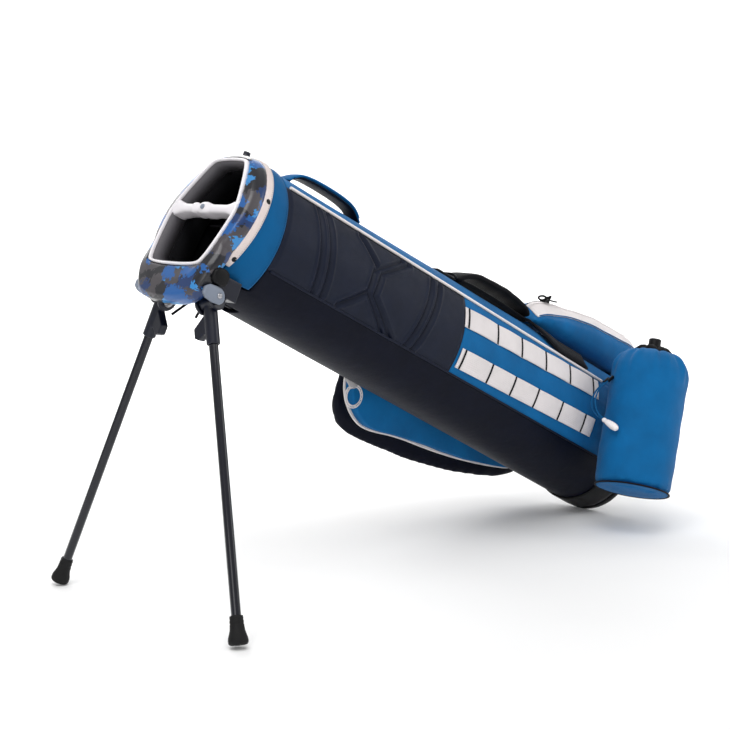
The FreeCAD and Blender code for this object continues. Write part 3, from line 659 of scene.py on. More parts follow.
def make_drawstring():
    length = float(np.linalg.norm(TOGGLE_TIP - TOGGLE_TOP))
    outline = [
        (-1.2, 0.3), (-1.0, 2.2), (0, 3.0), (2, 3.4), (4, 3.3), (5, 3.0), (6, 3.3), (8, 4.0), (13, 4.8),
        (19, 5.3), (24, 5.1), (length - 3.0, 4.2), (length - 1.2, 2.8), (length - 0.2, 1.2), (length, 0.2),
    ]
    toggle = place(
        turned_piece("drawstring_teardrop", TOGGLE_TOP, TOGGLE_TIP, outline, M["white_plastic"]),
        "bag", "white_plastic", "drawstring_toggle",
    )
    for name, (length, points) in CORDS.items():
        cord = spline_piece(f"{name}_cord", points, CORD_RADIUS, "bag", "blue_cord", M["cord"])
        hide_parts(name)
        start, onward = np.array(points[0], float), np.array(points[1], float)
        back = start - unit(onward - start) * 11
        eyelet = turned_piece(f"{name}_eyelet", back, start, [
            (0, 2.0), (0.4, 2.5), (9.5, 2.5), (10.4, 3.0), (11, 2.8), (11.2, 1.6), (10.4, 1.4),
        ], M["black"])
        place(eyelet, "bag", "black_plastic", "drawstring_eyelets")


make_drawstring()

# ---------------------------------------------------------------- the skins sewn round the tube

SEAM_LOW = -38.0
SEAM_HIGH = 68.0
WEBBING_SEAM = 444.0
COLLAR_SEAM = 783.0
TUBE_LOW = 17.0


def flat(value):
    return lambda _: value


def near_low(s):
    return facing_of(SEAM_LOW + 0.3, s)


def near_high(s):
    return facing_of(SEAM_HIGH - 0.3, s)


# the grooves pressed into the side panels: (depth, height) lines
GROOVES = [
    [(63, 731), (-36, 709)],
    [(62, 714), (-34, 694)],
    [(61, 654), (32, 621), (27, 628), (-2, 630), (-37, 581)],
    [(29, 614), (-2, 618), (-38, 564)],
    [(62, 561), (29, 614)],
    [(62, 574), (32, 621)],
    [(-3, 632), (-33, 666)],
    [(60, 515), (-38, 536)],
    [(59, 500), (-37, 522)],
]


def groove_distance(v, s):
    """How far (v, s) is from the nearest groove, in mm."""
    best = 99.0
    for line in GROOVES:
        for (v0, s0), (v1, s1) in zip(line, line[1:]):
            run = (v1 - v0) ** 2 + (s1 - s0) ** 2
            share = min(1.0, max(0.0, ((v - v0) * (v1 - v0) + (s - s0) * (s1 - s0)) / run))
            best = min(best, math.hypot(v - v0 - share * (v1 - v0), s - s0 - share * (s1 - s0)))
    return best


def pressed(v, y, s, across, along):
    """The moulded panel: pillows between pressed grooves, and an edge that dips to its seam."""
    rim = min(v - SEAM_LOW, SEAM_HIGH - v, s - WEBBING_SEAM, COLLAR_SEAM - s)
    pillow = 1.5 * smoothstep(rim, 0.5, 7)
    groove = 3.3 * math.exp(-((groove_distance(v, s) / 2.7) ** 2))
    ridge = 1.0 * math.exp(-(((groove_distance(v, s) - 6.2) / 2.3) ** 2))
    return pillow - groove + ridge + 0.15


def slack(height, pitch):
    """Cloth that is a little slack between its seams."""

    def lift(v, y, s, across, along):
        edge = smoothstep(min(across, 1 - across), 0, 0.1) * smoothstep(min(along, 1 - along), 0, 0.04)
        return (0.3 + height * (0.5 + 0.5 * ripple(s / pitch, across * 6, v / 40))) * edge + 0.1

    return lift


def far_side(span):
    """The same facings on the far side."""
    return tuple((lambda s, edge=edge: -edge(s)) for edge in span)


NEAR_SPAN = (near_high, near_low)
skin("panel_near", M["panel"], NEAR_SPAN, flat(WEBBING_SEAM), flat(COLLAR_SEAM), "moulded_navy",
     ["side_panel_near"], lift=pressed, steps=(110, 330))
skin("panel_far", M["panel"], far_side(NEAR_SPAN), flat(TUBE_LOW), flat(COLLAR_SEAM), "moulded_navy",
     ["side_panel_far"], lift=pressed, steps=(110, 640))


def webbing_rows(s):
    """The depths that the two webbing rows are centred on: they drift with the tube's taper."""
    drift = (440 - s) * 0.036
    return 39.5 + drift, -15.0 + drift * 0.8


def between_rows(v, y, s, across, along):
    """Blue cloth that puffs a little between and beside the webbing rows."""
    edge = smoothstep(min(across, 1 - across), 0, 0.08) * smoothstep(min(along, 1 - along), 0, 0.03)
    held = sum(math.exp(-(((v - row) / 12) ** 4)) for row in webbing_rows(s))
    return edge * (1.1 * (1 - min(1, held)) + 0.35 * ripple(s / 30, v / 14, 0.5)) + 0.1


skin("webbing_panel", M["blue"], NEAR_SPAN, flat(TUBE_LOW), flat(WEBBING_SEAM - 0.4), "blue_fabric",
     ["webbing_panel_near"], lift=between_rows, steps=(70, 200))


def heel_high(facing):
    """The underside runs on past the collar's seam behind the leg bracket."""
    return COLLAR_SEAM + 20.5 * smoothstep(abs(180 - facing % 360), 49, 45)


underside = skin(
    "underside_skin", M["navy"], (near_low, lambda s: 360 - near_low(s)), flat(TUBE_LOW), heel_high,
    "navy_fabric", ["underside_panel", "heel_panel"], lift=slack(0.5, 90), steps=(90, 200),
)
# the slot that the yoke works through
cut_box(underside, (-130, -16, 761), (-60, 16, 812))
skin("spine_skin", M["blue"], (lambda s: -near_high(s), near_high), flat(TUBE_LOW), flat(COLLAR_SEAM),
     "blue_fabric", ["spine_panel"], lift=slack(0.7, 60), steps=(50, 200))


# ---------------------------------------------------------------- the collar and the cuff

RIM_SLOPE = 0.19
BAND_LOW = 821.0
CUFF_LOW = 831.0


def slanted_height(level):
    """A height that falls towards the spine with the rim, as a function of facing."""

    def height(facing):
        return level - RIM_SLOPE * on_tube(facing, level)[0]

    return height


def collar_low(facing):
    return COLLAR_SEAM + 1 + 2.5 * smoothstep(abs(180 - facing % 360), 80, 20)


def collar_lift(v, y, s, across, along):
    """The sleeve is gathered at both hems and full between them."""
    full = math.sin(math.pi * min(1, max(0, along))) ** 0.6
    return 0.5 + 2.2 * full + 0.35 * ripple(across * 40, along * 3, 0.2) * full


skin(
    "collar_cloth", M["sleeve"], (flat(-132), flat(132)), collar_low, slanted_height(BAND_LOW + 3),
    "blue_fabric", ["collar_sleeve"], wall=1.4, lift=collar_lift, steps=(160, 26),
)


def band_lift(v, y, s, across, along):
    return 3.4 + 1.0 * math.sin(math.pi * along) ** 0.5


skin(
    "pale_band", M["white_band"], (flat(-124), flat(124)), slanted_height(BAND_LOW),
    slanted_height(CUFF_LOW + 1), "pale_band", ["collar_band"], wall=1.0, lift=band_lift, steps=(170, 14),
)


# a stitch's share of its step, and its radius in mm
STITCH_SHARE = 0.6
STITCH_RADIUS = 0.42


def stitch_row(name, path_point, count, material, slot):
    """Short stitches in a row: path_point(share) gives a bag point on the cloth."""
    points, faces = [], []
    for k in range(count):
        a = np.array(path_point((k + 0.5 - STITCH_SHARE / 2) / count))
        b = np.array(path_point((k + 0.5 + STITCH_SHARE / 2) / count))
        way = unit(b - a)
        side = unit(np.cross(way, (0.3, 0.5, 0.8)))
        other = np.cross(way, side)
        base = len(points)
        for centre, size in ((a, 0.35), (a + way * 0.5, 1), (b - way * 0.5, 1), (b, 0.35)):
            for corner in range(6):
                turn = corner * math.pi / 3
                spoke = side * math.cos(turn) + other * math.sin(turn)
                points.append(tuple(centre + spoke * STITCH_RADIUS * size))
        faces += [tuple(base + q for q in face) for face in strip_faces(4, 6, around=True)]
        faces += [tuple(base + q for q in range(5, -1, -1)), tuple(base + 18 + q for q in range(6))]
    return place(new_mesh(name, points, faces, material), "bag", slot)


def collar_stitch(share):
    facing = mixed(-128, 128, share)
    return on_skin(facing, collar_low(facing) + 4, 2.7)


def band_stitch(share):
    facing = mixed(-118, 118, share)
    return on_skin(facing, slanted_height(BAND_LOW + 2)(facing), 4.4)


def panel_stitch(share):
    s = mixed(450, 778, share)
    return on_skin(near_high(s) + 4.0, s, 1.9)


stitch_row("collar_stitches_low", collar_stitch, 150, M["blue_stitch"], "blue_fabric")
stitch_row("band_stitches", band_stitch, 140, M["tab"], "pale_band")
stitch_row("panel_stitches", panel_stitch, 120, M["stitch"], "moulded_navy")


# the outlines are walked by their angle round the tube's axis, all with the same count of points
ROUND = 180
ANGLES = np.linspace(-math.pi, math.pi, ROUND, endpoint=False)


def polar_reach(outline):
    """How far a closed outline reaches from the axis at each of ANGLES."""
    outline = np.array(outline)
    angles = np.arctan2(outline[:, 1], outline[:, 0])
    order = np.argsort(angles)
    reach = np.hypot(outline[:, 0], outline[:, 1])[order]
    return np.interp(ANGLES, angles[order], reach, period=2 * math.pi)


def oval_reach(s, offset):
    return polar_reach([on_tube(f, s, offset) for f in np.linspace(-180, 180, 720, endpoint=False)])


WELL_HALF = [(76, 24), (69, 34), (13, 58), (-9, 58), (-58, 50), (-67, 41)]


def well_outline(grow):
    half = []
    for v, y in WELL_HALF:
        along = grow if abs(v) > 66 else grow * 0.5
        half.append((v + (along if v > 0 else -along), y + grow))
    full = half + [(v, -y) for v, y in reversed(half)]
    return polar_reach(resampled(rounded(full), 900))


def ring_of(reach, height):
    """A loop from reaches along ANGLES and heights given as a function of depth."""
    return [(r * math.cos(a), r * math.sin(a), height(r * math.cos(a))) for r, a in zip(reach, ANGLES)]


def ring_mesh(name, loops, material):
    """A band through loops of ROUND points, its last loop joined to its first."""
    points = [p for loop in loops for p in loop]
    return new_mesh(name, points, strip_faces(len(loops), ROUND, around=True, closed=True), material)


def rim_height(level):
    """A height on the slanted rim, as a function of depth."""
    return lambda v: level - RIM_SLOPE * v


CHIN_PLAN = [(-44, -72), (-90, -64), (-113, -44), (-113, 44), (-90, 64), (-44, 72), (20, 50), (20, -50)]


def chin_reach(grow):
    plan = [(v + (-grow if v < -44 else 0), y * (1 + grow / 66)) for v, y in CHIN_PLAN]
    return polar_reach(resampled(rounded(plan), 900))


def cuff_height(level, chin_level):
    """A height on the slanted rim that turns into the chin's own level on the leg side."""
    return lambda v: mixed(level - RIM_SLOPE * v, chin_level, smoothstep(-v, 46, 84))


def make_cuff():
    low = np.maximum(oval_reach(826, 3.2), chin_reach(-1.0))
    middle = np.maximum(oval_reach(836, 3.4), chin_reach(0.5))
    brow = np.maximum(oval_reach(842, 1.0), chin_reach(-0.5))
    top = np.maximum(oval_reach(850, -6.5), chin_reach(-14) * 0.985)
    lip = well_outline(4.2)
    inside = well_outline(3.4)
    under = np.minimum(low - 3.5, oval_reach(826, -1.5))
    # each loop with its height on the rim, over the cuff's foot, and on the chin
    loops = [ring_of(reach, cuff_height(CUFF_LOW + up, chin)) for reach, up, chin in (
        (np.minimum(under, inside + 18), 0, 846), (low, 0, 845), (middle, 5, 850), (brow, 14.5, 861),
        (mixed(brow, top, 0.35), 18.5, 865.5), (np.maximum(mixed(top, lip, 0.35), lip + 1), 20.6, 867),
        (lip, 21.5, 865), (inside, 19, 861), (inside, 2, 848),
    )]
    cuff = ring_mesh("cuff_shell", loops, M["camouflage"])
    remeshed(cuff, 1.5, rounds=5)
    return place(cuff, "bag", "camouflage_moulding", "top_cuff")


make_cuff()

BEAM_DEPTH = 9


def make_well_frame():
    """The white lips of the two openings, their grey walls, a black band under them as painted shade of the
    depths, and the bar between them.
    """
    outer, inner = well_outline(3.0), well_outline(0.0)
    middle = mixed(outer, inner, 0.5)
    deep = well_outline(-1.5)
    loops = [ring_of(reach, rim_height(level)) for reach, level in (
        (outer, 833), (outer, 851.5), (outer - 0.3, 853.6), (middle, 854.6), (inner + 0.2, 853.8),
        (inner, 851.5), (inner, 849.8),
    )]
    lip = ring_mesh("well_lip", loops, M["lip"])
    place(lip, "bag", "pale_moulding", "divider_frame")

    for name, slot_name, material, levels in (
        ("well_walls", "pale_moulding", M["inner"], [(0.1, 850.4), (0.6, 829)]),
        # painted shade: below 829 mm the walls go on in black lining cloth, darkening the openings towards
        # their depths
        ("well_depths_painted_shade", "liner_fabric", M["lining"], [(0.6, 829), (1.6, 800)]),
    ):
        back = [(step + 1.8, height) for step, height in reversed(levels)]
        walls = [
            ring_of(mixed(inner, deep, smoothstep(840 - h, 0, 30)) - step, rim_height(h))
            for step, h in levels + back
        ]
        place(ring_mesh(name, walls, material), "bag", slot_name)

    # the bar is a rounded beam that widens into both sides and carries a boss
    loops = []
    for y in np.linspace(-59, 59, 61):
        end = smoothstep(abs(y), 30, 59)
        boss = math.exp(-((y / 9) ** 4)) + 0.7 * math.exp(-(((y - 18) / 5) ** 4))
        half = 5.6 + 5.0 * end**2 + 1.8 * boss
        top = rim_height(853)(BEAM_DEPTH) + 2.5 * boss - 1.0 * (1 - end)
        low = 826
        outline = [(BEAM_DEPTH + v, s) for v, s in (
            (-half, low), (-half, top - 3), (1.4 - half, top - 0.8), (0, top), (half - 1.4, top - 0.8),
            (half, top - 3), (half, low),
        )]
        loops.append([(v, y, s) for v, s in resampled(rounded(outline, 2), 28)])
    bar = lofted("divider_beam", loops, M["lip"])
    place(bar, "bag", "pale_moulding")
    screw = []
    for radius, level in (3.2, 853.2), (3.2, 855.4), (2.4, 856.2), (0.01, 856.3):
        top = rim_height(level)(BEAM_DEPTH)
        screw.append([(BEAM_DEPTH + radius * math.cos(t), radius * math.sin(t), top) for t in circle(24)])
    place(lofted("beam_screw", screw, M["grey"]), "bag", "pale_moulding")


make_well_frame()

# ---------------------------------------------------------------- webbing rows

# half a row's width, in mm
ROW_HALF = 13.4


def webbing_row(name, index, node, tacks):
    """A flat row of webbing held by tacks: it bows out a little between them."""
    high, low = tacks[0] + 7, 131.0
    steps = 150
    gaps = sorted(tacks + [high, low], reverse=True)
    loops = []
    for i in range(steps):
        s = mixed(high, low, i / (steps - 1))
        centre = webbing_rows(s)[index]
        bow = 0.0
        for top, bottom in zip(gaps, gaps[1:]):
            if bottom <= s <= top and top - bottom > 20:
                bow = math.sin(math.pi * (top - s) / (top - bottom)) ** 0.8
        row = []
        for offset, rise, order in (1.9, 1.7, range(13)), (0.9, 1.5, range(12, -1, -1)):
            for j in order:
                u = -1 + 2 * j / 12
                facing = facing_of(centre + u * ROW_HALF, s)
                row.append(on_skin(facing, s, offset + rise * bow * (1 - 0.25 * u * u)))
        loops.append(row)
    place(lofted(name, loops, M["white_webbing"]), "bag", "white_webbing", node)
    for k, tack in enumerate(tacks):
        # a bar tack is a zigzag of thread laid across the row
        points = []
        turns = 44
        for t in range(turns):
            u = -0.98 + 1.96 * t / (turns - 1)
            s = tack + (1.15 if t % 2 else -1.15)
            points.append(on_skin(facing_of(webbing_rows(tack)[index] + u * ROW_HALF, s), s, 2.5))
        spline_piece(f"{name}_tack_{k}", points, 0.62, "bag", "white_webbing", M["stitch"], order=2)


webbing_row("webbing_row_upper", 0, "webbing_upper", [438.7, 375.2, 320.3, 263.4, 204.3, 145.5])
webbing_row("webbing_row_lower", 1, "webbing_lower", [432.4, 374.5, 322.6, 269.8, 212.3, 155.5])


# ---------------------------------------------------------------- soft pockets


def superellipse(t, power):
    c, n = math.cos(t), math.sin(t)
    return math.copysign(abs(c) ** (2 / power), c), math.copysign(abs(n) ** (2 / power), n)


def profile_at(table, s):
    """Interpolate the columns of a table of rows (s, ...) at height s."""
    table = sorted(table)
    xs = [row[0] for row in table]
    return [float(np.interp(s, xs, [row[k] for row in table])) for k in range(1, len(table[0]))]


BALL_POCKET = [
    # height, lowest depth, crest depth, half width
    (-9, 128, 152, 22), (-6, 116, 163, 30), (4, 104, 168, 34), (30, 102.5, 170, 36), (75, 102, 169, 37),
    (110, 101.2, 166, 37), (150, 100.6, 160, 37), (200, 99.6, 151, 37), (235, 98.4, 142, 36),
    (252, 98, 136, 33),
    (262, 98, 122, 29), (266, 98, 114, 25),
]
BALL_POWER = 2.9


def ball_surface(s, c, n, grow):
    """The pocket's depth at that height, for a section's unit coordinates: its near shoulder slopes."""
    low, high, _ = profile_at(BALL_POCKET, s)
    middle, reach = (low + high) / 2, (high - low) / 2 + grow
    slope = min(22.0, 0.6 * (high - low)) * smoothstep(-n, -0.15, 0.95) * max(0.0, c)
    return max(low, middle + reach * c - slope)


def ball_section(s, grow):
    """A rounded block of cloth: flat against the spine, crowned away from it."""
    half = profile_at(BALL_POCKET, s)[2] + grow
    points = []
    for t in circle(56):
        c, n = superellipse(t, BALL_POWER)
        points.append((ball_surface(s, c, n, grow), half * n, s))
    return points


def make_ball_pocket():
    ends = [-9, -8, -6, -2, 4, 12, 24], [218, 235, 247, 256, 262, 266]
    heights = [*ends[0], *range(40, 201, 20), *ends[1]]
    piece = lofted("ball_pocket_cloth", [ball_section(s, -0.5) for s in heights], M["blue"])
    inflate(piece, 5, 4.0, 7, pinned=lambda v, y, s: v < 104)

    def crease(v, y, s):
        depth = smoothstep(v, 104, 118)
        return (
            1.3 * depth * ripple(s / 17, y / 16, v / 21),
            0.8 * depth * ripple(v / 13, s / 26, y / 30) * (1 if y > 0 else -1),
            0.0,
        )

    push(piece, crease)
    place(piece, "bag", "blue_fabric", "ball_pocket")

    cloth = BVHTree.FromObject(piece, bpy.context.evaluated_depsgraph_get())

    def crest(s, y, lift):
        """A point on the pocket's top at that height and width: where a ray from outside meets the cloth."""
        hit = cloth.ray_cast(bag(230, y, s), -DEPTH_WAY)[0]
        if hit is None:
            return profile_at(BALL_POCKET, s)[1] + lift, y, s
        return unbag(hit)[0] + lift, y, s

    # the white zip band lies along the near edge of the crest, with a dark line on its far side
    rows = []
    for s in np.linspace(258, 22, 60):
        near = mixed(-25, -23, smoothstep(s, 60, 240))
        far = mixed(4, 7, smoothstep(s, 60, 240))
        over = [crest(s, mixed(near, far, j / 10), 1.9) for j in range(11)]
        rows.append(over + [(v - 1.7, y, s) for v, y, s in reversed(over)])
    band = lofted("ball_pocket_zip_band", rows, M["white_webbing"])
    place(band, "bag", "white_webbing", "ball_pocket_zip")
    for name, side, radius, material in (
        ("ball_zip_edge", 8.0, 0.9, "stitch"), ("ball_zip_near_edge", -25.5, 0.8, "blue_fine"),
    ):
        line = [crest(s, side + (0 if side > 0 else 2.5 * smoothstep(s, 60, 240)), 2.0)
                for s in np.linspace(256, 20, 24)]
        spline_piece(name, line, radius, "bag", "blue_fabric", M[material])
    teeth_points, teeth_faces = [], []
    for k, s in enumerate(np.linspace(258, 28, 150)):
        v, y, _ = crest(s, 0.9 if k % 2 else -0.9, 2.1)
        base = len(teeth_points)
        teeth_points += box_corners((v, y - 1.6, s - 0.5), (v + 1.1, y + 1.6, s + 0.5))
        teeth_faces += [tuple(base + q for q in face) for face in BOX_FACES]
    teeth = new_mesh("ball_zip_teeth", teeth_points, teeth_faces, M["white_plastic"], smooth=False)
    place(teeth, "bag", "white_plastic")


make_ball_pocket()

POUCH_LOW = np.array((-76.0, -144.0, 92.0))
POUCH_HIGH = np.array((95.0, -124.0, 104.0))
POUCH_WAY = unit(POUCH_HIGH - POUCH_LOW)
POUCH_SIDE = unit(np.cross(POUCH_WAY, (0, 0, 1.0)))
POUCH_UP = np.cross(POUCH_SIDE, POUCH_WAY)
POUCH_BACK = -80.2
POUCH_LENGTH = float(np.linalg.norm(POUCH_HIGH - POUCH_LOW))


def pouch_ring(height, radius, gathers=0.0, count=96, flatten=True):
    """A ring of the pouch: gathers deepen it into folds; the side on the tube stays flat."""
    points = []
    for t in circle(count):
        fold = 1 + gathers * (math.cos(14 * t) * 0.6 + 0.4 * math.cos(9 * t + 1.3))
        point = (
            POUCH_LOW + POUCH_WAY * (height + 1.5 * gathers * 10 * math.sin(7 * t))
            + (POUCH_SIDE * math.cos(t) + POUCH_UP * math.sin(t)) * radius * fold
        )
        if flatten:
            point[1] = min(point[1], POUCH_BACK)
        points.append(tuple(point))
    return points


def make_pouch():
    rings = [(0, 52.5), (5, 53.5), (20, 53.8), (50, 54.0), (80, 54.4), (110, 55), (140, 55.6), (165, 55.6)]
    loops = [pouch_ring(h, r) for h, r in rings]
    loops += [pouch_ring(POUCH_LENGTH + h, r, g) for h, r, g in (
        (2, 55, 0.004), (10, 52, 0.01), (18, 47.5, 0.02), (25, 40, 0.035), (29, 31, 0.06))]
    piece = lofted("pouch_cloth", loops, M["blue"])
    inflate(piece, 5, 3.5, 5, pinned=lambda v, y, s: y > -88)

    def crease(v, y, s):
        point = np.array((v, y, s)) - POUCH_LOW
        along = float(point @ POUCH_WAY)
        t = math.atan2(float(point @ POUCH_UP), float(point @ POUCH_SIDE))
        out = point - POUCH_WAY * along
        size = np.linalg.norm(out) + 1e-6
        top = smoothstep(along, POUCH_LENGTH - 25, POUCH_LENGTH + 22)
        hem = smoothstep(along, 2, 14)
        folds = 2.0 * top * (math.cos(13 * t + 0.5) + 0.6 * math.cos(21 * t + 1.1))
        soft = 1.4 * hem * ripple(along / 24, t * 3, t * 2 + along / 40)
        return tuple(out / size * (folds + soft) * (1 if y < -84 else 0))

    push(piece, crease)
    place(piece, "bag", "blue_fabric", "pouch")

    rings = (-2.0, 12), (-2.2, 38), (-2.0, 48), (-1.2, 51), (0.4, 51.5), (1, 40)
    disc = [pouch_ring(h, r) for h, r in rings]
    place(lofted("pouch_bottom", disc, M["blue_fine"]), "bag", "blue_fabric", "pouch_base")
    edge = pouch_ring(-0.9, 52.6, count=64)
    spline_piece("pouch_bottom_piping", edge, 1.3, "bag", "blue_fabric", M["stitch"], closed=True)

    # the gathered black mouth inside the blue hem
    mouth = [pouch_ring(POUCH_LENGTH + h, r, g, flatten=False) for h, r, g in (
        (24, 31, 0.06), (30, 29, 0.10), (35, 23, 0.14), (37, 15, 0.16), (35, 7, 0.1), (31, 3, 0.0))]
    place(lofted("pouch_mouth", mouth, M["black_cloth"]), "bag", "black_plastic")


make_pouch()

# ---------------------------------------------------------------- apparel pocket on the far side

GUSSET_OUTLINE = [
    (30, 466), (-60, 470), (-92, 460), (-114, 436), (-125, 405), (-112, 338), (-108, 272), (-101, 206),
    (-90, 139), (-74, 71), (-40, 50), (30, 50),
]
FRONT_OUTLINE = [
    (28, 468), (-64, 472), (-108, 469), (-133, 450), (-143, 424), (-139, 306), (-126, 200), (-113, 147),
    (-98, 94), (-68, 44), (28, 44),
]


def shrunk(outline, amount):
    """The outline moved inwards by about that many mm."""
    points = np.array(outline, float)
    centre = np.array((-45.0, 260.0))
    way = points - centre
    size = np.linalg.norm(way, axis=1, keepdims=True)
    return centre + way * (1 - amount / size)


def pocket_loops(outline, levels, count=120):
    loops = []
    for y, inwards in levels:
        flat_loop = resampled(rounded(shrunk(outline, inwards), 2), count)
        loops.append([(v, y, s) for v, s in flat_loop])
    return loops


def make_apparel_pocket():
    gusset = lofted("apparel_gusset", pocket_loops(GUSSET_OUTLINE, [
        (75, 3), (79, 1.5), (85, 1.0), (90, 1.5), (92, 2.2)]), M["blue"])
    for vertex in gusset.data.vertices:
        v, y, s = unbag(vertex.co)
        if v > -60 and y < 80:
            vertex.co = bag(v, max(y, 76.5), s)

    def crease(v, y, s):
        return 0.9 * ripple(s / 20, y / 4, v / 30), 0, 0.9 * ripple(v / 24, y / 4, s / 60)

    push(gusset, crease)
    place(gusset, "bag", "blue_fabric", "apparel_pocket_gusset")

    levels = (95.2, 6), (96.5, 3.2), (101, 2.4), (108, 2.8), (113, 6), (115.5, 14), (116.3, 30), (116.6, 60)
    front = lofted("apparel_front", pocket_loops(FRONT_OUTLINE, levels), M["navy"])
    inflate(front, 6, 3.5, 5, pinned=lambda v, y, s: y < 97.5)
    push(front, lambda v, y, s: (
        0.8 * ripple(s / 28, y / 9, v / 25), 1.6 * ripple(v / 30, s / 34, 1) * smoothstep(y, 100, 112),
        0.8 * ripple(v / 25, y / 9, s / 40)))
    place(front, "bag", "navy_fabric", "apparel_pocket_front")

    seam = [(v, 93.4, s) for v, s in resampled(rounded(shrunk(GUSSET_OUTLINE, -0.6), 2), 90)]
    spline_piece("apparel_piping", seam, 1.5, "bag", "white_piping", M["white_piping"], closed=True)
    levels = (92.4, 2.5), (92.6, 0.8), (94.2, 0.8), (94.4, 2.5)
    tape = lofted("apparel_piping_tape", pocket_loops(GUSSET_OUTLINE, levels), M["white_piping"])
    place(tape, "bag", "white_piping", "apparel_pocket_piping")


make_apparel_pocket()

# ---------------------------------------------------------------- towel ring

RING = np.array((-93.0, 75.2, 457.0))
RING_RADIUS = 14.5
RING_DOWN = np.array((-math.cos(LEAN), 0, -math.sin(LEAN)))
RING_ACROSS = np.array((-math.sin(LEAN), 0, math.cos(LEAN)))


def on_ring(turn, radius):
    return tuple(RING + (RING_DOWN * math.cos(turn) + RING_ACROSS * math.sin(turn)) * radius)


def make_towel_ring():
    """Two thin hoops joined by a zigzag of struts."""
    white = "ring", "white_plastic", M["white_plastic"]
    outer, inner = RING_RADIUS + 1.6, RING_RADIUS - 1.6
    for name, radius in ("outer", outer), ("inner", inner):
        points = [on_ring(t, radius) for t in circle(40)]
        spline_piece(f"towel_ring_{name}", points, 0.85, *white, closed=True)
    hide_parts("towel_ring")
    zigzag = [on_ring(t, outer if k % 2 else inner) for k, t in enumerate(circle(36))]
    spline_piece("towel_ring_struts", zigzag, 0.6, *white, closed=True, order=2)

    # the tab is a folded triangle of webbing sewn to the gusset
    top = RING - RING_DOWN * 26
    loops = []
    for share in np.linspace(0, 1, 14):
        centre = top + (RING - RING_DOWN * 10.5 - top) * share
        half = mixed(15, 4.4, share)
        lift = 1.3 * math.sin(math.pi * share)
        loops.append([
            tuple(centre + RING_ACROSS * half * u + np.array((0, w - lift, 0)))
            for u, w in [(-1, 1.8), (-0.97, 0), (0, -0.5), (0.97, 0), (1, 1.8), (0.97, 3.2), (-0.97, 3.2)]
        ])
    tab = lofted("towel_ring_webbing", loops, M["tab"])
    place(tab, "bag", "grey_tab", "towel_ring_tab")


make_towel_ring()

# ---------------------------------------------------------------- handle and strap


def sweep(name, centre, half_width, half_thick, material, power=2.6, middle=0.0):
    """A padded band: a rounded section carried along a line in the bag's middle plane."""
    centre = resampled(centre, 60, closed=False)
    loops = []
    for i, (v, s) in enumerate(centre):
        before, after = centre[max(i - 1, 0)], centre[min(i + 1, len(centre) - 1)]
        run = unit(after - before)
        out = np.array((-run[1], run[0]))
        share = i / (len(centre) - 1)
        wide, thick = half_width(share), half_thick(share)
        loop = []
        for t in circle(28):
            c, n = superellipse(t, power)
            loop.append((v + out[0] * thick * n, middle + wide * c, s + out[1] * thick * n))
        loops.append(loop)
    return lofted(name, loops, material)


def curve_through(points, count=60):
    """A smooth line from the first to the last of a few (v, s) points, its corners cut again and again."""
    points = [np.array(p, float) for p in points]
    for _ in range(3):
        cut = [points[0]]
        for here, there in zip(points, points[1:]):
            cut.extend((here * 0.75 + there * 0.25, here * 0.25 + there * 0.75))
        points = cut + [points[-1]]
    return resampled(points, count, closed=False)


HANDLE_LINE = [(89.5, 752), (97, 748), (105, 734), (108, 700), (108, 660), (104, 640), (95, 629), (91.5, 624)]


def make_handle():
    core = curve_through(HANDLE_LINE)
    shift = np.array([(0.9, 0.0)])
    outer = sweep("handle_outer", core + shift, lambda t: 13.4 - 2.4 * (1 - math.sin(math.pi * t)) ** 2,
                  lambda t: 1.7 + 0.8 * math.sin(math.pi * t), M["blue"])
    place(outer, "bag", "blue_fabric", "grab_handle")
    inner = sweep("handle_inner", curve_through([(v - 3.2 * math.sin(math.pi * i / 7), s) for i, (v, s)
                                                 in enumerate(HANDLE_LINE)]),
                  lambda t: 12.0 - 2.0 * (1 - math.sin(math.pi * t)) ** 2, lambda t: 1.9, M["navy"])
    place(inner, "bag", "navy_fabric")
    for sign in (-1, 1):
        edge = [(v + 0.6, sign * 12.6, s) for v, s in resampled(core[3:-3], 24, closed=False)]
        which = "near" if sign < 0 else "far"
        spline_piece(f"handle_binding_{which}", edge, 1.3, "bag", "blue_fabric", M["blue_fine"])


make_handle()

STRAP_LINE = [(95, 430), (104, 424), (112, 405), (116, 380), (117, 340), (116, 305), (112, 285), (105, 276)]
STRAP_SIDE = -5


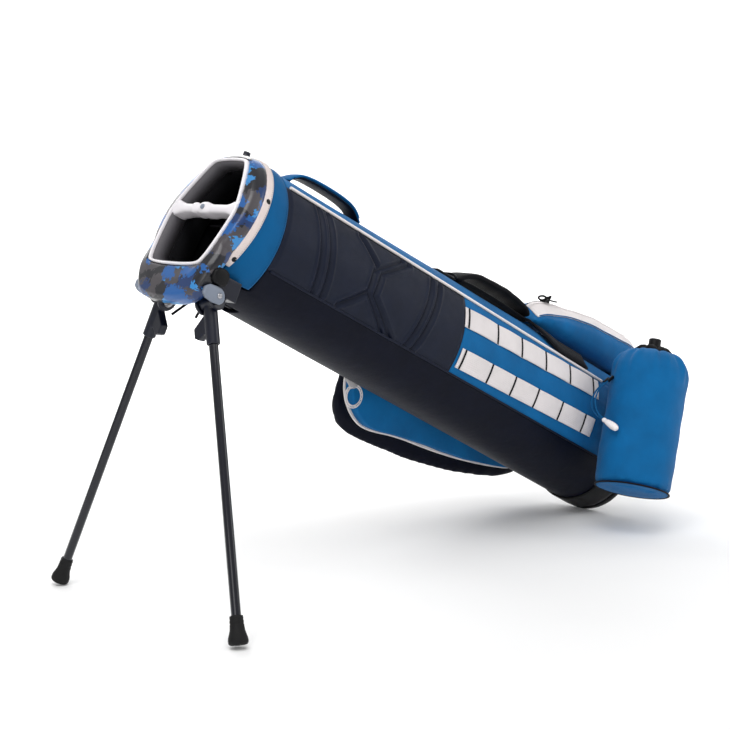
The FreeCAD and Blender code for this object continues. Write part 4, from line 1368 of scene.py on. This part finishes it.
def make_strap():
    pad = sweep(
        "strap_pad", curve_through(STRAP_LINE), lambda t: 23.5 * (0.75 + 0.25 * math.sin(math.pi * t) ** 0.5),
        lambda t: 3.4 + 2.4 * math.sin(math.pi * t) ** 0.5, M["strap"], power=3.0, middle=STRAP_SIDE,
    )
    modify(pad, "SUBSURF", levels=1, render_levels=1)
    apply_modifiers(pad)

    def wrinkle(v, y, s):
        return 0.9 * ripple(s / 10, y / 12, v / 14), 0.0, 0.5 * ripple(s / 14, y / 9, 2)

    push(pad, wrinkle)
    place(pad, "bag", "black_webbing", "shoulder_strap")
    # the loose fold of the second strap arm lies under the first
    under = [(96.5, 428), (99, 400), (100, 360), (100, 320), (99.5, 285), (98.5, 276)]
    fold = sweep("strap_fold", curve_through(under), lambda t: 20.0, lambda t: 2.6, M["strap"], middle=-3)
    place(fold, "bag", "black_webbing")
    lower, normals = [], []
    for k in range(24):
        share = k / 23
        facing, s = mixed(16, 42, smoothstep(share, 0, 0.5)), mixed(286, 160, share)
        lower.append(on_skin(facing, s, mixed(6.0, 1.6, smoothstep(share, 0, 0.6))))
        normals.append((math.cos(math.radians(facing)), -math.sin(math.radians(facing)), 0))
    ribbon_line("strap_anchor_lower", lower, normals, 30, 3.4, M["strap"], "black_webbing",
                "strap_webbing_lower")
    upper = [(v, STRAP_SIDE, s) for v, s in curve_through([(94.4, 434), (93.8, 452), (93.3, 472)], 20)]
    ribbon_line("strap_anchor_upper", upper, [(1, 0, 0)] * len(upper), 24, 1.8, M["black_webbing"],
                "black_webbing", "strap_webbing_upper")
    buckle = []
    for t in circle(24):
        c, n = superellipse(t, 5)
        buckle.append((97.5 + 0.8 * n, STRAP_SIDE + 15 * c, 441 + 6 * n))
    spline_piece("strap_buckle", buckle, 1.7, "bag", "black_plastic", M["black"], closed=True)


make_strap()

# ---------------------------------------------------------------- piping


def seam_line(depth, low, high, offset, way):
    """Points along the seam at that depth, on the near side (-1) or the far side (1)."""
    line = []
    for s in np.linspace(low, high, 26):
        v, y = on_tube(facing_of(depth, s), s, offset)
        line.append((v, -way * y, s))
    return line


def make_piping():
    for side, way in (("near", -1), ("far", 1)):
        line = seam_line(SEAM_HIGH, 120, 777, 1.9, way)
        cord = spline_piece(f"seam_piping_{side}", line, 1.9, "bag", "white_piping", M["white_piping"])
        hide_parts(f"piping_{side}")
        welt = seam_line(SEAM_LOW, 24, 778, 0.7, way)
        spline_piece(f"seam_welt_{side}", welt, 1.3, "bag", "moulded_navy", M["panel"])


make_piping()

# ---------------------------------------------------------------- moulded and metal pieces


def soft_copy(name, node, material, body, slot, voxel, rounds):
    """A CAD piece with its edges rounded as a mould leaves them."""
    piece = remeshed(cad_copy(name, node, material), voxel, rounds)
    return place(piece, body, slot, node)


LEG_PIVOT = np.array((-100.0, 0.0, 828.6))


def make_legs():
    for side in ("left", "right"):
        body = f"leg_{side}"
        soft_copy(f"leg_shoulder_{side}", f"leg_head_{side}", M["navy_gloss"], body, "navy_moulding", 0.8, 5)
        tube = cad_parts[f"leg_tube_{side}"]
        points = np.array([unbag(v.co) for v in tube.data.vertices])
        middle = points.mean(axis=0)
        way = np.linalg.svd(points - middle, full_matrices=False)[2][0]
        way *= 1 if way @ (middle - LEG_PIVOT) > 0 else -1
        along = (points - middle) @ way
        start, end = middle + way * along.min(), middle + way * along.max()
        long = along.max() - along.min()
        outline = [(0, 5.4), (1, 5.5), (long - 1, 5.5), (long, 5.4)]
        shaft = turned_piece(f"leg_shaft_{side}", start, end, outline, M["leg"], 40)
        place(shaft, body, "leg_alloy", f"leg_tube_{side}")
        # a rubber foot: a ribbed sleeve that flares into a round pad
        tip = end + way * 14
        base = end - way * 18
        foot = [(0, 5.7), (0.6, 7.4), (3, 7.7), (5, 7.4), (6, 7.9), (8, 7.9), (9, 7.5), (10, 8.0), (13, 8.2),
                (16, 8.5), (20, 9.6), (24, 10.9), (27, 11.3), (29.6, 11.2), (31.2, 10.4), (32, 8.6),
                (32, 0.2)]
        rubber = turned_piece(f"leg_rubber_{side}", base, tip, foot, M["rubber"], 48)
        place(rubber, body, "foot_rubber", f"leg_foot_{side}")


make_legs()


def side_plate(name, way, corners, count, levels, material, slot):
    """A small flat moulding on the chin's side: levels are (how far out, how large) pairs."""
    outline = resampled(rounded(corners, 1), count)
    middle = outline.mean(axis=0)
    loops = []
    for out, size in levels:
        loops.append([(v, way * out, s) for v, s in middle + (outline - middle) * size])
    place(lofted(name, loops, material), "bag", slot)


CHIN_EAR = [(-86, 858), (-83, 838), (-88, 829), (-97, 826), (-104, 833), (-101, 858)]
CHIN_CLIP = [(-64, 855), (-62, 836), (-74, 831), (-84, 836), (-82, 856)]


def make_fittings():
    soft_copy("bracket_moulding", "leg_bracket", M["navy_gloss"], "bag", "grey_moulding", 0.9, 3)
    for side, way in (("near", -1), ("far", 1)):
        levels = (62.0, 0.94), (66.6, 1.0), (68.0, 0.97), (68.4, 0.9)
        side_plate(f"chin_ear_{side}", way, CHIN_EAR, 48, levels, M["grey"], "grey_moulding")
        rivet = turned_piece(f"chin_rivet_{side}", (-93, way * 67.5, 836), (-93, way * 71, 836),
                             [(0, 3.4), (1.6, 3.4), (2.4, 2.6), (2.7, 1.2), (2.2, 0.2)], M["steel"])
        place(rivet, "bag", "steel")
        levels = (60.0, 1.0), (69.0, 1.0), (71.0, 0.93), (71.6, 0.7)
        side_plate(f"chin_clip_{side}", way, CHIN_CLIP, 40, levels, M["black"], "black_plastic")
    soft_copy("base_shoe", "base_boot", M["black"], "bag", "boot_moulding", 1.4, 5)
    soft_copy("base_foot", "foot_plate", M["black"], "base_plate", "boot_moulding", 1.4, 4)
    soft_copy("pouch_lock", "pouch_cord_lock", M["black"], "bag", "black_plastic", 0.5, 6)
    soft_copy("zip_slider_body", "ball_pocket_slider", M["black"], "zip_slider", "black_plastic", 0.4, 4)


make_fittings()


def make_zip_pulls():
    """Two knotted black pulls that lie bunched at the slider."""
    low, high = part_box("ball_pocket_slider")
    v, y, s = unbag(Vector([(a + b) / 2 for a, b in zip(low, high)]))
    for k, (side, reach) in enumerate(((-7, 15), (4, 19))):
        pull = [
            (v + 1, y + side * 0.3, s + 3), (v + 4, y + side, s + 7), (v + 2.5, y + side * 1.5, s + 12),
            (v - 1.5, y + side * 1.2, s + reach), (v - 5, y + side * 0.8, s + reach + 1),
            (v - 5.5, y + side * 0.1, s + reach - 5), (v - 1, y + side * 0.5, s + 8),
            (v + 3.5, y - side * 0.2, s + 5),
        ]
        spline_piece(f"zip_pull_{k}", pull, 1.5, "zip_slider", "black_plastic", M["black_cloth"])


make_zip_pulls()

# the CAD nodes that stay as they are, each with its material
PLAIN = {
    "black": ("collar_screws", "rod_guides", "yoke_block"),
    "navy_gloss": ("cuff_knob",),
    "steel": ("pivot_pins", "plate_pin"),
    "wire": ("actuator_rod", "yoke_wire"),
    "lining": ("liner_lower", "liner_middle", "liner_upper", "liner_mouth", "divider_sheet"),
}
for material, nodes in PLAIN.items():
    for node in nodes:
        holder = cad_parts[node]
        holder.data.materials.clear()
        holder.data.materials.append(M[material])


# ---------------------------------------------------------------- floor and light


def pale_material(name, value, rough):
    n = Nodes(name)
    base = n.patches(n.noise(3, 2), (value, value, value), 1, 1.02)
    return n.set(Base_Color=base, Roughness=rough, Specular_IOR_Level=0.1)


# the way from the camera to the backdrop, level with the floor
WALL_WAY = Vector((math.sin(math.radians(43.37)), math.cos(math.radians(43.37)), 0))


def make_stage():
    mesh = bpy.data.meshes.new("floor")
    size, curve, wall = 3.4, 0.9, 3.0
    profile = [(-4.0, 0.0), (size, 0.0)]
    for k in range(1, 13):
        turn = k / 12 * math.pi / 2
        profile.append((size + curve * math.sin(turn), curve * (1 - math.cos(turn))))
    profile.append((size + curve, wall))
    side = Vector((WALL_WAY.y, -WALL_WAY.x, 0))
    points = []
    for out, up in profile:
        for across in (-6.0, 6.0):
            points.append(WALL_WAY * out + side * across + Vector((0, 0, up - 0.0005)))
    mesh.from_pydata(points, [], [(2 * k, 2 * k + 1, 2 * k + 3, 2 * k + 2) for k in range(len(profile) - 1)])
    mesh.materials.append(pale_material("pale_floor", 0.92, 0.85))
    floor = bpy.data.objects.new("floor", mesh)
    SCENE.collection.objects.link(floor)
    smooth_shade(floor)


def area_light(name, place, target, size, power):
    data = bpy.data.lights.new(name, "AREA")
    data.shape = "RECTANGLE"
    data.size, data.size_y = size
    data.energy = power
    light = bpy.data.objects.new(name, data)
    light.location = place
    light.rotation_euler = (Vector(target) - Vector(place)).to_track_quat("-Z", "Y").to_euler()
    SCENE.collection.objects.link(light)


make_stage()
area_light("key_light", (-1.2, -0.9, 2.6), (0, 0, 0.2), (2.2, 1.6), 40)
area_light("side_light", (1.8, -1.9, 1.3), (0, 0, 0.25), (1.2, 1.6), 12)
area_light("back_light", (0.6, 2.3, 1.9), (0, 0, 0.3), (2.4, 1.2), 30)
over_floor, on_wall = WALL_WAY * 1.9 + Vector((0, 0, 2.9)), WALL_WAY * 4.3 + Vector((0, 0, 0.9))
area_light("wall_light", over_floor, on_wall, (4.0, 0.8), 150)
area_light("front_light", (-2.6, -1.6, 0.9), (-0.3, 0, 0.35), (1.4, 1.0), 10)
world = bpy.data.worlds.new("studio")
world.use_nodes = True
world.node_tree.nodes["Background"].inputs[0].default_value = (1, 1, 1, 1)
world.node_tree.nodes["Background"].inputs[1].default_value = 0.55
SCENE.world = world
SCENE.view_settings.view_transform = "Standard"
